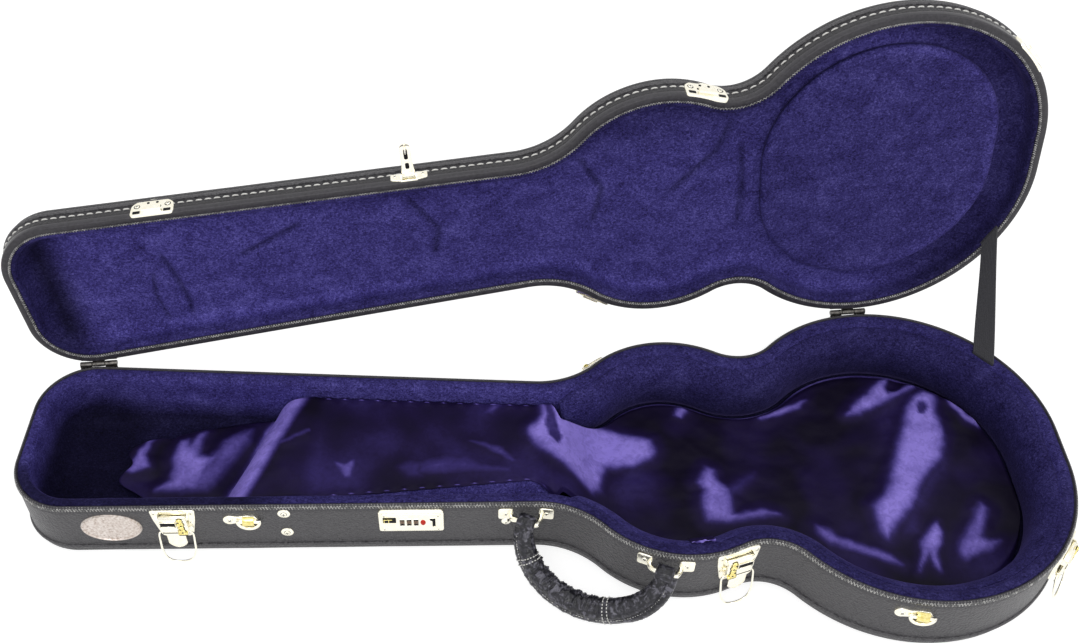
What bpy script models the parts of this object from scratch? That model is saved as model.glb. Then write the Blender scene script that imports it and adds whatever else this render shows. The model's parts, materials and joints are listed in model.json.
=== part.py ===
"""Hardshell guitar case, open, as an assembly of its separate pieces.

Metres, +Z up. X runs along the case from the headstock end to the tail, -Y is the front with
the handle and the latches, +Y is the hinge side. The origin is on the underside of the base,
at half the length on the centre line. The lid stands open on its stay strap.
"""
import math

import bmesh
import bpy
from mathutils import Matrix, Vector

for leftover in list(bpy.data.objects):
    bpy.data.objects.remove(leftover, do_unlink=True)

# Plan outline of the case
CASE_LENGTH = 1.080
HEAD_WIDTH = 0.188
NECK_WIDTH = 0.160
UPPER_BOUT_WIDTH = 0.279
LOWER_BOUT_WIDTH = 0.372
HEAD_CORNER_RADIUS = 0.060
UPPER_BOUT_RADIUS = 0.115
NECK_FILLET_RADIUS = 0.090
WAIST_FILLET_RADIUS = 0.050
TAIL_FLAT = 0.042
UPPER_BOUT_STATION_SHARE = 0.6315
CHORD_ERROR = 0.0006

# Walls, panels, binding and welts
BASE_DEPTH = 0.081
LID_DEPTH = 0.036
WALL = 0.011
PANEL = 0.006
EDGE_RADIUS = 0.008
SEAT_GAP = 0.0003
RIM_GAP = 0.0006
BINDING_HEIGHT = 0.008
BINDING_THICKNESS = 0.0014
WELT_RADIUS = 0.0022
BASE_WELT_HEIGHT = 0.0135
LID_WELT_HEIGHT = 0.0225
LID_OPEN_ANGLE = math.radians(94)

# Plush linings, pads and the satin cover
LINING = 0.004
LINING_SETBACK = 0.006
FLOOR_LINING = 0.005
BOLSTER_WIDTH = 0.019
BOLSTER_SETBACK = 0.010
BOLSTER_ROUNDING = 0.005
NECK_BLOCK_START_SHARE = 0.268
NECK_BLOCK_END_SHARE = 0.512
NECK_BLOCK_HEIGHT = 0.058
NECK_BLOCK_ROUNDING = 0.004
LID_PAD_THICKNESS = 0.008
LID_PAD_MARGIN = 0.042
LID_PAD_ROUNDING = 0.006
SATIN_THICKNESS = 0.0025
SATIN_FOLD = 0.012
SATIN_EDGE_GAP = 0.004
SATIN_SLOPE = 0.062
SATIN_LEFT_REACH = 0.155
SATIN_ROWS = 13

# Hinges
HINGE_WIDTH = 0.040
HINGE_LEAF_HEIGHT = 0.017
HINGE_LEAF_THICKNESS = 0.0016
KNUCKLE_RADIUS = 0.0030
KNUCKLE_CLEARANCE = 0.0005
KNUCKLE_GAP = 0.0004
HINGE_PIN_RADIUS = 0.0013
PIN_CLEARANCE = 0.0003
HEAD_HINGE_SHIFT = 0.010

# Draw latches: plate on the base, lever, wire bail, catch on the lid
LATCH_PLATE_WIDTH = 0.046
LATCH_PLATE_HEIGHT = 0.044
LATCH_PLATE_DROP = 0.0045
PLATE_PROUD = 0.0018
LEVER_PIVOT_DROP = 0.013
LEVER_PIVOT_CLEARANCE = 0.0006
LEVER_BARREL_RADIUS = 0.0030
LEVER_PIN_RADIUS = 0.0014
LEVER_WIDTH = 0.028
LEVER_TIP_WIDTH = 0.019
LEVER_RISE = 0.0024
LEVER_LENGTH = 0.046
LEVER_THICKNESS = 0.0022
LEVER_SLOT_WIDTH = 0.018
LEVER_SLOT_HEIGHT = 0.005
LEVER_SLOT_DROP = 0.010
EAR_THICKNESS = 0.0016
EAR_CLEARANCE = 0.0004
EAR_HALF_HEIGHT = 0.0035
BAIL_PIVOT_DROP = 0.022
BAIL_LENGTH = 0.043
BAIL_ARM_SPREAD = 0.0176
BAIL_TIP_SPREAD = 0.0125
BAIL_WIRE_RADIUS = 0.0011
BAIL_BARREL_RADIUS = 0.0026
BAIL_PIN_REACH = 0.004
BAIL_REST_ANGLE = math.radians(12)
CATCH_WIDTH = 0.044
CATCH_HEIGHT = 0.0165
CATCH_SETBACK = 0.0015
CATCH_HOOK_WIDTH = 0.019
CATCH_HOOK_REACH = 0.0056
CATCH_HOOK_HEIGHT = 0.0065
CATCH_HOOK_THICKNESS = 0.0013

# Combination lock on the base and its hasp on the lid
LOCK_WIDTH = 0.066
LOCK_HEIGHT = 0.034
LOCK_CENTRE_DROP = 0.0235
LOCK_PROUD = 0.006
LOCK_ROUNDING = 0.003
DIAL_COUNT = 3
DIAL_RADIUS = 0.0048
DIAL_THICKNESS = 0.004
DIAL_PITCH = 0.007
DIAL_PROUD = 0.0009
DIAL_CLEARANCE = 0.0003
DIAL_GROUP_OFFSET = 0.002
DIAL_SHAFT_RADIUS = 0.0009
SHAFT_OVERRUN = 0.0012
POCKET_CLEARANCE = 0.0005
INDICATOR_RADIUS = 0.0024
INDICATOR_OFFSET = 0.0125
SLIDER_OFFSET = -0.021
SLIDER_LENGTH = 0.009
SLIDER_HEIGHT = 0.007
SLIDER_TRAVEL = 0.004
SLIDER_PROUD = 0.0015
SLIDER_RISE = 0.004
HASP_SLOT_OFFSET = 0.021
HASP_SLOT_WIDTH = 0.005
HASP_SLOT_HEIGHT = 0.012
HASP_PLATE_WIDTH = 0.038
HASP_PLATE_HEIGHT = 0.013
HASP_PLATE_SETBACK = 0.0015
HASP_BARREL_RADIUS = 0.0030
HASP_PIN_RADIUS = 0.0013
HASP_AXIS_SETBACK = 0.0055
HASP_WIDTH = 0.013
HASP_LENGTH = 0.036
HASP_THICKNESS = 0.0015
HASP_STAPLE_WIDTH = 0.003
HASP_STAPLE_HEIGHT = 0.008
HASP_STAPLE_REACH = 0.004
HASP_REST_ANGLE = math.radians(90)

# Handle and its two brackets
HANDLE_STANDOFF = 0.0125
HANDLE_PIVOT_DROP = 0.016
HANDLE_REACH = 0.062
HANDLE_GRIP_RADIUS = 0.0120
HANDLE_END_RADIUS = 0.0075
HANDLE_EYE_RADIUS = 0.0068
HANDLE_EYE_LENGTH = 0.015
HANDLE_REST_ANGLE = math.radians(34)
HANDLE_STEPS = 14
BRACKET_WIRE_RADIUS = 0.0022
BRACKET_BAR_LENGTH = 0.020
BRACKET_TAB = 0.015
BRACKET_TAB_SPREAD = 0.0205
BRACKET_CLEARANCE = 0.0004
BRACKET_KNEE_SHARE = 0.55

# Strap anchors with their rings, badge plate and domed rivets
ANCHOR_LENGTH = 0.036
ANCHOR_HEIGHT = 0.0145
ANCHOR_DROP = 0.022
ANCHOR_BRIDGE_OFFSET = 0.008
BRIDGE_LENGTH = 0.009
BRIDGE_THICKNESS = 0.0013
RING_WIRE_RADIUS = 0.0016
RING_RADIUS = 0.011
RING_CLEARANCE = 0.0004
BADGE_WIDTH = 0.062
BADGE_HEIGHT = 0.044
BADGE_THICKNESS = 0.0016
RIVET_RADIUS = 0.0062
RIVET_HEIGHT = 0.0024

# Lid stay strap
STRAP_WIDTH = 0.026
STRAP_THICKNESS = 0.0016
STRAP_TUCK = 0.0045
STRAP_LIFT = 0.0014
STRAP_BASE_BEARING = math.radians(41)
STRAP_LID_BEARING = math.radians(33)

# Places of the hardware along the case, as shares of its length from the headstock end
FRONT_LATCH_SHARES = (0.158, 0.676)
REAR_LATCH_SHARE = 0.560
BUTT_LATCH_BEARING = math.radians(-36)
ANCHOR_SHARES = (0.220, 0.824)
LOCK_SHARE = 0.379
HANDLE_SHARES = (0.486, 0.611)
BADGE_SHARE = 0.097
RIVET_SHARE = 0.261
RIVET_HEIGHT_SHARES = (0.44, 0.84)

ROUND_SIDES = 12
OVERRUN = 0.002
FRONT = -1
REAR = 1

UPPER_BOUT_STATION = UPPER_BOUT_STATION_SHARE * CASE_LENGTH
LOWER_BOUT_RADIUS = (LOWER_BOUT_WIDTH - TAIL_FLAT) / 2
LOWER_BOUT_CENTRE = Vector((CASE_LENGTH / 2 - LOWER_BOUT_RADIUS, TAIL_FLAT / 2))
LID_RIM = BASE_DEPTH + RIM_GAP

MATERIALS = {
    "tolex": ((0.018, 0.018, 0.021), 0.62, 0.0),
    "binding": ((0.022, 0.021, 0.024), 0.55, 0.0),
    "plush": ((0.022, 0.016, 0.135), 0.95, 0.0),
    "satin": ((0.060, 0.030, 0.330), 0.35, 0.0),
    "gold": ((0.830, 0.690, 0.400), 0.22, 1.0),
    "leather": ((0.020, 0.020, 0.024), 0.50, 0.0),
    "webbing": ((0.014, 0.014, 0.016), 0.85, 0.0),
    "dial": ((0.740, 0.660, 0.480), 0.40, 0.0),
    "slider": ((0.015, 0.015, 0.015), 0.40, 0.0),
    "indicator": ((0.700, 0.060, 0.040), 0.30, 0.0),
    "badge": ((0.640, 0.570, 0.520), 0.38, 0.6),
}


def material(slot):
    colour, roughness, metallic = MATERIALS[slot]
    found = bpy.data.materials.get(slot)
    if found is None:
        found = bpy.data.materials.new(slot)
        found.use_nodes = True
        shader = found.node_tree.nodes["Principled BSDF"]
        shader.inputs["Base Color"].default_value = (*colour, 1.0)
        shader.inputs["Roughness"].default_value = roughness
        shader.inputs["Metallic"].default_value = metallic
    return found


# Meshes: every helper returns a closed mesh in its own local frame
def closed_mesh(points, faces):
    mesh = bpy.data.meshes.new("solid")
    mesh.from_pydata([tuple(point) for point in points], [], faces)
    work = bmesh.new()
    work.from_mesh(mesh)
    bmesh.ops.recalc_face_normals(work, faces=work.faces)
    work.to_mesh(mesh)
    work.free()
    return mesh


def ring_mesh(rings, capped=True, looped=False):
    """Rings of equal length joined in order, capped at both ends or looped into a closed band."""
    count = len(rings[0])
    points = [point for ring in rings for point in ring]
    faces = []
    last = len(rings) if looped else len(rings) - 1
    for row in range(last):
        here = row * count
        there = (row + 1) % len(rings) * count
        for column in range(count):
            after = (column + 1) % count
            faces.append((here + column, here + after, there + after, there + column))
    if capped and not looped:
        faces.append(tuple(range(count)))
        faces.append(tuple(range(len(points) - count, len(points))))
    return closed_mesh(points, faces)


def along_z(outline, low, high):
    """Prism of (x, out) points; out is measured outwards from the wall, which is -Y here."""
    return ring_mesh([[(x, -out, z) for x, out in outline] for z in (low, high)])


def through_wall(outline, near, far):
    """Prism of (x, z) points between two distances outwards from the wall."""
    return ring_mesh([[(x, -out, z) for x, z in outline] for out in (near, far)])


def along_x(outline, left, right):
    """Prism of (out, z) points."""
    return ring_mesh([[(x, -out, z) for out, z in outline] for x in (left, right)])


def box_outline(half_width, low, high):
    return [(-half_width, low), (half_width, low), (half_width, high), (-half_width, high)]


def circle(radius, sides=ROUND_SIDES, centre=(0, 0)):
    turns = [2 * math.pi * step / sides for step in range(sides)]
    return [(centre[0] + radius * math.cos(turn), centre[1] + radius * math.sin(turn)) for turn in turns]


def tube(route, radii, sides, looped=False):
    """Round tube through a route of points, one radius for each point."""
    rings = []
    count = len(route)
    across = None
    for index, point in enumerate(route):
        before = route[index - 1] if index or looped else point
        after = route[(index + 1) % count] if index < count - 1 or looped else point
        heading = ((after - point).normalized() + (point - before).normalized()).normalized()
        if across is None:
            across = heading.orthogonal().normalized()
        across = (across - heading * across.dot(heading)).normalized()
        side = heading.cross(across)
        rings.append([point + across * u * radii[index] + side * v * radii[index]
                      for u, v in circle(1, sides)])
    return ring_mesh(rings, looped=looped)


def boolean(first, second, operation):
    body = bpy.data.objects.new("boolean_body", first)
    tool = bpy.data.objects.new("boolean_tool", second)
    for item in (body, tool):
        bpy.context.scene.collection.objects.link(item)
    change = body.modifiers.new("change", "BOOLEAN")
    change.operation = operation
    change.object = tool
    graph = bpy.context.evaluated_depsgraph_get()
    graph.update()
    result = bpy.data.meshes.new_from_object(body.evaluated_get(graph))
    for item in (body, tool):
        bpy.data.objects.remove(item, do_unlink=True)
    return result


def union(first, *others):
    for other in others:
        first = boolean(first, other, "UNION")
    return first


def cut(first, *tools):
    for tool in tools:
        first = boolean(first, tool, "DIFFERENCE")
    return first


def moved(mesh, x=0.0, out=0.0, z=0.0):
    copy = mesh.copy()
    copy.transform(Matrix.Translation((x, -out, z)))
    return copy


def add(name, mesh, slot, place=None, parent=None, smooth=False):
    own = mesh
    own.name = name
    own.materials.clear()
    own.materials.append(material(slot))
    if smooth:
        own.shade_smooth()
        own.set_sharp_from_angle(angle=SMOOTH_ANGLE)
    item = bpy.data.objects.new(name, own)
    bpy.context.scene.collection.objects.link(item)
    if parent is not None:
        item.parent = parent
        item.matrix_parent_inverse = CLOSED_PIVOT.inverted()
    item.matrix_basis = place if place is not None else Matrix.Identity(4)
    return item


SMOOTH_ANGLE = math.radians(35)


# Plan outline: points with their outward normals, rear side from head to tail, then the front
def arc(centre, radius, start, end, facing):
    step = 2 * math.acos(1 - CHORD_ERROR / radius)
    steps = max(2, math.ceil(abs(end - start) / step))
    samples = []
    for index in range(steps + 1):
        turn = start + (end - start) * index / steps
        spoke = Vector((math.cos(turn), math.sin(turn)))
        samples.append((centre + spoke * radius, spoke * facing))
    return samples


def bearing(vector):
    return math.atan2(vector.y, vector.x)


def rear_outline():
    left = -CASE_LENGTH / 2
    head = Vector((left + HEAD_CORNER_RADIUS, HEAD_WIDTH / 2 - HEAD_CORNER_RADIUS))
    upper = Vector((left + UPPER_BOUT_STATION, UPPER_BOUT_WIDTH / 2 - UPPER_BOUT_RADIUS))
    lower = LOWER_BOUT_CENTRE
    # The neck flank is a straight taper that touches the head corner and the neck fillet
    rise = NECK_WIDTH / 2 + NECK_FILLET_RADIUS - upper.y
    reach = UPPER_BOUT_RADIUS + NECK_FILLET_RADIUS
    neck_end = upper.x - math.sqrt(reach ** 2 - rise ** 2)
    slope = math.atan2(NECK_WIDTH / 2 - HEAD_WIDTH / 2, neck_end - head.x)
    flank = Vector((math.cos(slope), math.sin(slope)))
    flank_normal = Vector((-flank.y, flank.x))
    height = (head + flank_normal * (HEAD_CORNER_RADIUS + NECK_FILLET_RADIUS) - upper).dot(flank_normal)
    fillet = upper + flank_normal * height - flank * math.sqrt(reach ** 2 - height ** 2)
    # The waist fillet touches both bouts from outside
    span = lower - upper
    near = UPPER_BOUT_RADIUS + WAIST_FILLET_RADIUS
    far = LOWER_BOUT_RADIUS + WAIST_FILLET_RADIUS
    along = (near ** 2 - far ** 2 + span.length ** 2) / (2 * span.length)
    aside = math.sqrt(near ** 2 - along ** 2)
    heading = span.normalized()
    waist = upper + heading * along + Vector((-heading.y, heading.x)) * aside
    samples = arc(head, HEAD_CORNER_RADIUS, math.pi, bearing(flank_normal), 1)
    samples += arc(fillet, NECK_FILLET_RADIUS, bearing(-flank_normal), bearing(upper - fillet), -1)
    samples += arc(upper, UPPER_BOUT_RADIUS, bearing(fillet - upper), bearing(waist - upper), 1)[1:]
    samples += arc(waist, WAIST_FILLET_RADIUS, bearing(upper - waist), bearing(lower - waist), -1)[1:]
    samples += arc(lower, LOWER_BOUT_RADIUS, bearing(waist - lower), 0.0, 1)[1:]
    return samples


def mirrored(samples):
    flip = Vector((1, -1))
    return [(point * flip, normal * flip) for point, normal in reversed(samples)]


REAR_OUTLINE = rear_outline()
OUTLINE = REAR_OUTLINE + mirrored(REAR_OUTLINE)


def run_lengths():
    lengths = [0.0]
    for index, (point, normal) in enumerate(OUTLINE):
        after = OUTLINE[(index + 1) % len(OUTLINE)][0]
        lengths.append(lengths[-1] + (after - point).length)
    return lengths


RUN = run_lengths()


def outline_at(length):
    length %= RUN[-1]
    index = max(i for i in range(len(OUTLINE)) if RUN[i] <= length)
    start = OUTLINE[index][0]
    end = OUTLINE[(index + 1) % len(OUTLINE)][0]
    heading = (end - start).normalized()
    return start + heading * (length - RUN[index]), Vector((-heading.y, heading.x))


def outline_run(start, end):
    """Outline samples between two lengths along it, with both ends cut exactly there."""
    middle = []
    for turn in (-1, 0, 1):
        for index, sample in enumerate(OUTLINE):
            length = RUN[index] + turn * RUN[-1]
            if start < length < end:
                middle.append((length, sample))
    middle.sort(key=lambda entry: entry[0])
    return [outline_at(start)] + [sample for length, sample in middle] + [outline_at(end)]


def length_at_share(share, side):
    """Length along the outline at a share of the case length, on the front or the rear side."""
    x = (share - 0.5) * CASE_LENGTH
    for index, (point, normal) in enumerate(OUTLINE):
        after = OUTLINE[(index + 1) % len(OUTLINE)][0]
        if point.y * side > 0 and (point.x - x) * (after.x - x) <= 0 and after.y * side > 0:
            return RUN[index] + (x - point.x) / (after.x - point.x) * (RUN[index + 1] - RUN[index])
    return 0.0


def length_at_bearing(turn):
    """Length along the outline where a spoke of the lower bout at this bearing meets it."""
    side = 1 if turn > 0 else -1
    centre = Vector((LOWER_BOUT_CENTRE.x, LOWER_BOUT_CENTRE.y * side))
    target = centre + Vector((math.cos(turn), math.sin(turn))) * LOWER_BOUT_RADIUS
    nearest = min(range(len(OUTLINE)), key=lambda i: (OUTLINE[i][0] - target).length)
    heading = (OUTLINE[(nearest + 1) % len(OUTLINE)][0] - OUTLINE[nearest][0]).normalized()
    return RUN[nearest] + (target - OUTLINE[nearest][0]).dot(heading)


def offset(samples, inset):
    return [point - normal * inset for point, normal in samples]


def wall_frame(origin, heading, base_z):
    """Frame on the wall: X to the right seen from outside, Y inwards, Z up."""
    right = -heading
    inward = Vector((heading.y, -heading.x))
    return Matrix(((right.x, inward.x, 0, origin.x), (right.y, inward.y, 0, origin.y),
                   (0, 0, 1, base_z), (0, 0, 0, 1)))


def station(length, width, base_z=0.0, heading=None):
    """Wall frame at a length along the outline, its origin just touching the wall."""
    samples = outline_run(length - width / 2, length + width / 2)
    points = [point for point, normal in samples]
    if heading is None:
        heading = (points[-1] - points[0]).normalized()
    outward = Vector((-heading.y, heading.x))
    middle = outline_at(length)[0]
    proud = max((point - middle).dot(outward) for point in points)
    return wall_frame(middle + outward * proud, heading, base_z)


def saddle(place, length, width, low, high, proud):
    """Block whose back follows the wall at the seat gap and whose front is flat."""
    samples = outline_run(length - width, length + width)
    inverse = place.inverted()
    back = []
    for point in offset(samples, -SEAT_GAP):
        local = inverse @ Vector((point.x, point.y, 0))
        back.append((local.x, -local.y))
    back.sort()
    half = width / 2
    trimmed = [(-half, value_at(back, -half))]
    trimmed += [point for point in back if -half < point[0] < half]
    trimmed += [(half, value_at(back, half))]
    return along_z(trimmed + [(half, proud), (-half, proud)], low, high)


def value_at(points, x):
    for (x0, y0), (x1, y1) in zip(points, points[1:]):
        if x0 <= x <= x1 and x1 > x0:
            return y0 + (y1 - y0) * (x - x0) / (x1 - x0)
    return points[0][1] if x < points[0][0] else points[-1][1]


def shaped_plate(place, length, outline, proud):
    """Plate of a given (x, z) outline, seated on the wall by its saddle back."""
    width = 2 * max(abs(x) for x, z in outline)
    low = min(z for x, z in outline)
    high = max(z for x, z in outline)
    block = saddle(place, length, width, low - OVERRUN, high + OVERRUN, proud)
    shape = through_wall(outline, -WALL, proud + OVERRUN)
    return boolean(block, shape, "INTERSECT")


def swept(samples, profile, looped=True):
    """Profile of (inset, z) points carried round the outline."""
    rings = []
    for point, normal in samples:
        rings.append([(*(point - normal * inset), z) for inset, z in profile])
    return ring_mesh(rings, looped=looped)


def panel(inset, low, high, rounding=0.0):
    """Flat panel that follows the outline, its upper edge rounded off by one step."""
    levels = [(inset, low), (inset, high - rounding)]
    if rounding:
        levels.append((inset + rounding, high))
    return ring_mesh([[(*point, z) for point in offset(OUTLINE, d)] for d, z in levels])


def quarter(centre_inset, centre_z, radius, start, end, steps=3):
    turns = [start + (end - start) * step / steps for step in range(steps + 1)]
    return [(centre_inset + radius * math.cos(turn), centre_z + radius * math.sin(turn)) for turn in turns]


# The hinge axis is the line that touches the head corner and the lower bout
def hinge_line():
    points = [point for point, normal in REAR_OUTLINE]
    for i, first in enumerate(points):
        for j in range(i + 1, len(points)):
            heading = (points[j] - first).normalized()
            outward = Vector((-heading.y, heading.x))
            if first.x < 0 < points[j].x and all((p - first).dot(outward) <= OUTLINE_SLACK for p in points):
                return first, points[j], heading, outward
    return points[0], points[-1], Vector((1, 0)), Vector((0, 1))


OUTLINE_SLACK = 1e-9
HEAD_TOUCH, TAIL_TOUCH, HINGE_HEADING, HINGE_OUTWARD = hinge_line()
HINGE_STANDOFF = KNUCKLE_RADIUS + KNUCKLE_CLEARANCE
HINGE_Z = BASE_DEPTH + RIM_GAP / 2
hinge_point = HEAD_TOUCH + HINGE_OUTWARD * HINGE_STANDOFF
CLOSED_PIVOT = wall_frame(hinge_point, HINGE_HEADING, HINGE_Z)
OPEN_PIVOT = CLOSED_PIVOT @ Matrix.Rotation(LID_OPEN_ANGLE, 4, "X")

lid_pivot = bpy.data.objects.new("lid_pivot", None)
bpy.context.scene.collection.objects.link(lid_pivot)
lid_pivot.matrix_basis = OPEN_PIVOT


def rim_profile(depth, edge_low):
    """Wall section with the outer edge rounded at the panel and a step for the binding at the rim."""
    step = BINDING_THICKNESS + SEAT_GAP
    rounded = quarter(EDGE_RADIUS, EDGE_RADIUS, EDGE_RADIUS, 1.5 * math.pi, math.pi)
    rim = [(0, depth - BINDING_HEIGHT), (step, depth - BINDING_HEIGHT), (step, depth - step),
           (WALL, depth - step), (WALL, 0)]
    section = rounded + rim
    if edge_low:
        return section
    return [(inset, depth - z) for inset, z in section]


def binding_profile(depth, rim_up):
    top = depth
    low = depth - BINDING_HEIGHT + SEAT_GAP
    under = depth - BINDING_THICKNESS
    section = [(0, low), (0, top), (WALL, top), (WALL, under),
               (BINDING_THICKNESS, under), (BINDING_THICKNESS, low)]
    if rim_up:
        return section
    return [(inset, depth - z) for inset, z in section]


def lifted(profile, rise):
    return [(inset, z + rise) for inset, z in profile]


def welt_profile(height):
    """Half-round welt standing on the outside of the wall."""
    return [(-SEAT_GAP, height - WELT_RADIUS), (-SEAT_GAP - WELT_RADIUS * 0.8, height - WELT_RADIUS / 2),
            (-SEAT_GAP - WELT_RADIUS, height), (-SEAT_GAP - WELT_RADIUS * 0.8, height + WELT_RADIUS / 2),
            (-SEAT_GAP, height + WELT_RADIUS)]


LINED_WALL = WALL + SEAT_GAP + LINING + SEAT_GAP
FLOOR_TOP = PANEL + SEAT_GAP + FLOOR_LINING


def lining_profile(low, high):
    near = WALL + SEAT_GAP
    far = near + LINING
    return [(near, low), (near, high), (near + LINING / 2, high + LINING / 4), (far, high - LINING / 2),
            (far, low)]


def build_base():
    wall = swept(OUTLINE, rim_profile(BASE_DEPTH, True))
    add("base_side_wall", cut(wall, lock_pocket()), "tolex")
    add("base_bottom_panel", panel(WALL + SEAT_GAP, 0, PANEL), "tolex")
    add("base_rim_binding", swept(OUTLINE, binding_profile(BASE_DEPTH, True)), "binding")
    add("base_lower_welt", swept(OUTLINE, welt_profile(BASE_WELT_HEIGHT)), "binding")
    lining_top = BASE_DEPTH - LINING_SETBACK
    add("base_wall_lining", swept(OUTLINE, lining_profile(PANEL + SEAT_GAP, lining_top)), "plush")
    add("base_floor_lining", panel(LINED_WALL, PANEL + SEAT_GAP, FLOOR_TOP), "plush")
    build_bolster()
    build_neck_block()
    build_satin()


def build_bolster():
    """Padded bolster round the body recess, from one side of the neck block to the other."""
    near = LINED_WALL
    far = near + BOLSTER_WIDTH
    low = FLOOR_TOP + SEAT_GAP
    high = BASE_DEPTH - BOLSTER_SETBACK
    profile = [(near, low), (near, high - BOLSTER_ROUNDING), (near + BOLSTER_ROUNDING, high),
               (far - BOLSTER_ROUNDING, high), (far, high - BOLSTER_ROUNDING), (far, low)]
    clear = SEAT_GAP + BOLSTER_ROUNDING
    start = length_at_share(NECK_BLOCK_END_SHARE, REAR) + clear
    end = length_at_share(NECK_BLOCK_END_SHARE, FRONT) - clear
    add("body_bolster", swept(outline_run(start, end), profile, looped=False), "plush")


def build_neck_block():
    """Padded block under the neck, between the side linings."""
    low = FLOOR_TOP + SEAT_GAP
    high = NECK_BLOCK_HEIGHT
    levels = [(0.0, low), (0.0, high - NECK_BLOCK_ROUNDING), (NECK_BLOCK_ROUNDING, high)]
    rings = []
    for inset, z in levels:
        start_trim = inset / CASE_LENGTH
        start = length_at_share(NECK_BLOCK_START_SHARE + start_trim, REAR)
        end = length_at_share(NECK_BLOCK_END_SHARE - start_trim, REAR)
        rear = offset(outline_run(start, end), LINED_WALL + inset)
        front = [Vector((point.x, -point.y)) for point in reversed(rear)]
        rings.append([(*point, z) for point in rear + front])
    add("neck_block", ring_mesh(rings), "plush")


def inner_half_width(x, inset):
    """Half the free width at x inside walls, linings and the given inset."""
    points = [(point.x, point.y) for point in offset(REAR_OUTLINE, inset)]
    return value_at(points, x)


def satin_columns():
    """Stations of the satin along X with the height of what carries it and its inset."""
    start = (NECK_BLOCK_START_SHARE - 0.5) * CASE_LENGTH
    end = (NECK_BLOCK_END_SHARE - 0.5) * CASE_LENGTH
    tail = CASE_LENGTH / 2 - LINED_WALL - BOLSTER_WIDTH
    low = FLOOR_TOP + SEAT_GAP
    high = NECK_BLOCK_HEIGHT + SEAT_GAP
    columns = []
    left = start - SATIN_LEFT_REACH
    foot = start - SATIN_SLOPE / 2
    for step in range(7):
        columns.append((left + (foot - left) * step / 6, low, 1.0))
    columns.append((start - SATIN_EDGE_GAP, high, 0.35))
    for step in range(9):
        columns.append((start + (end - start) * step / 8, high, 0.25))
    columns.append((end + SATIN_EDGE_GAP, high, 0.35))
    slope_end = end + SATIN_SLOPE
    for step in range(1, 4):
        share = step / 3
        columns.append((end + SATIN_EDGE_GAP + (SATIN_SLOPE - SATIN_EDGE_GAP) * share,
                        high + (low - high) * share, share))
    last = tail - SATIN_SLOPE / 2
    for step in range(1, 20):
        columns.append((slope_end + (last - slope_end) * step / 19, low, 1.0))
    return columns


def satin_reach(x):
    """Half width of the satin at x, narrower where it spills into the headstock well."""
    start = (NECK_BLOCK_START_SHARE - 0.5) * CASE_LENGTH
    end = (NECK_BLOCK_END_SHARE - 0.5) * CASE_LENGTH
    over_block = inner_half_width(x, LINED_WALL + NECK_BLOCK_ROUNDING)
    if x < start:
        return over_block * (1 - 0.45 * min(1.0, (start - x) / SATIN_LEFT_REACH))
    if x <= end:
        return over_block
    in_body = inner_half_width(x, LINED_WALL + BOLSTER_WIDTH + SATIN_EDGE_GAP)
    share = min(1.0, (x - end) / SATIN_EDGE_GAP)
    return over_block + (in_body - over_block) * share


def satin_fold(x, v, strength):
    """Height of the folds: long diagonal swells with two smaller ones across them."""
    along = x / CASE_LENGTH
    swell = 0.5 + 0.5 * math.sin(2 * math.pi * (5.5 * along + 0.55 * v))
    ripple = 0.5 + 0.5 * math.sin(2 * math.pi * (11 * along - 0.8 * v) + 1.0)
    edge = 1 - v ** 4
    return SATIN_FOLD * strength * (0.7 * swell + 0.3 * ripple) * edge


def build_satin():
    """Satin cover laid over the neck block and down into the body recess."""
    tops = []
    for x, support, strength in satin_columns():
        half = satin_reach(x)
        row = []
        for step in range(SATIN_ROWS):
            v = 2 * step / (SATIN_ROWS - 1) - 1
            z = support + satin_fold(x, v, strength)
            row.append(Vector((x, v * half, z)))
        tops.append(row)
    rings = []
    for row in tops:
        under = [point + Vector((0, 0, SATIN_THICKNESS)) for point in reversed(row)]
        rings.append(row + under)
    add("satin_cover", ring_mesh(rings), "satin", smooth=True)


def build_lid():
    rise = LID_RIM
    lid = {"parent": lid_pivot}
    add("lid_side_wall", swept(OUTLINE, lifted(rim_profile(LID_DEPTH, False), rise)), "tolex", **lid)
    top = rise + LID_DEPTH
    add("lid_top_panel", panel(WALL + SEAT_GAP, top - PANEL, top), "tolex", **lid)
    add("lid_rim_binding", swept(OUTLINE, lifted(binding_profile(LID_DEPTH, False), rise)), "binding", **lid)
    add("lid_upper_welt", swept(OUTLINE, lifted(welt_profile(LID_WELT_HEIGHT), rise)), "binding", **lid)
    under_panel = top - PANEL - SEAT_GAP
    lining = [(inset, 2 * rise + LID_DEPTH - z) for inset, z in
              lining_profile(rise + PANEL + SEAT_GAP, rise + LID_DEPTH - LINING_SETBACK)]
    add("lid_wall_lining", swept(OUTLINE, lining), "plush", **lid)
    add("lid_panel_lining", panel(LINED_WALL, under_panel - FLOOR_LINING, under_panel), "plush", **lid)
    build_lid_pad(under_panel - FLOOR_LINING - SEAT_GAP)


def build_lid_pad(seat):
    """Raised pad over the guitar's body, with a crowned face."""
    radius = LOWER_BOUT_RADIUS - LID_PAD_MARGIN
    levels = [(0.0, seat), (0.0, seat - LID_PAD_THICKNESS + LID_PAD_ROUNDING),
              (LID_PAD_ROUNDING, seat - LID_PAD_THICKNESS * 0.85),
              (radius * 0.5, seat - LID_PAD_THICKNESS)]
    rear = arc(LOWER_BOUT_CENTRE, radius, math.pi, 0.0, 1)
    loop = rear + mirrored(rear)
    rings = [[(*point, z) for point in offset(loop, inset)] for inset, z in levels]
    add("lid_body_pad", ring_mesh(rings), "plush", parent=lid_pivot, smooth=True)


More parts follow.
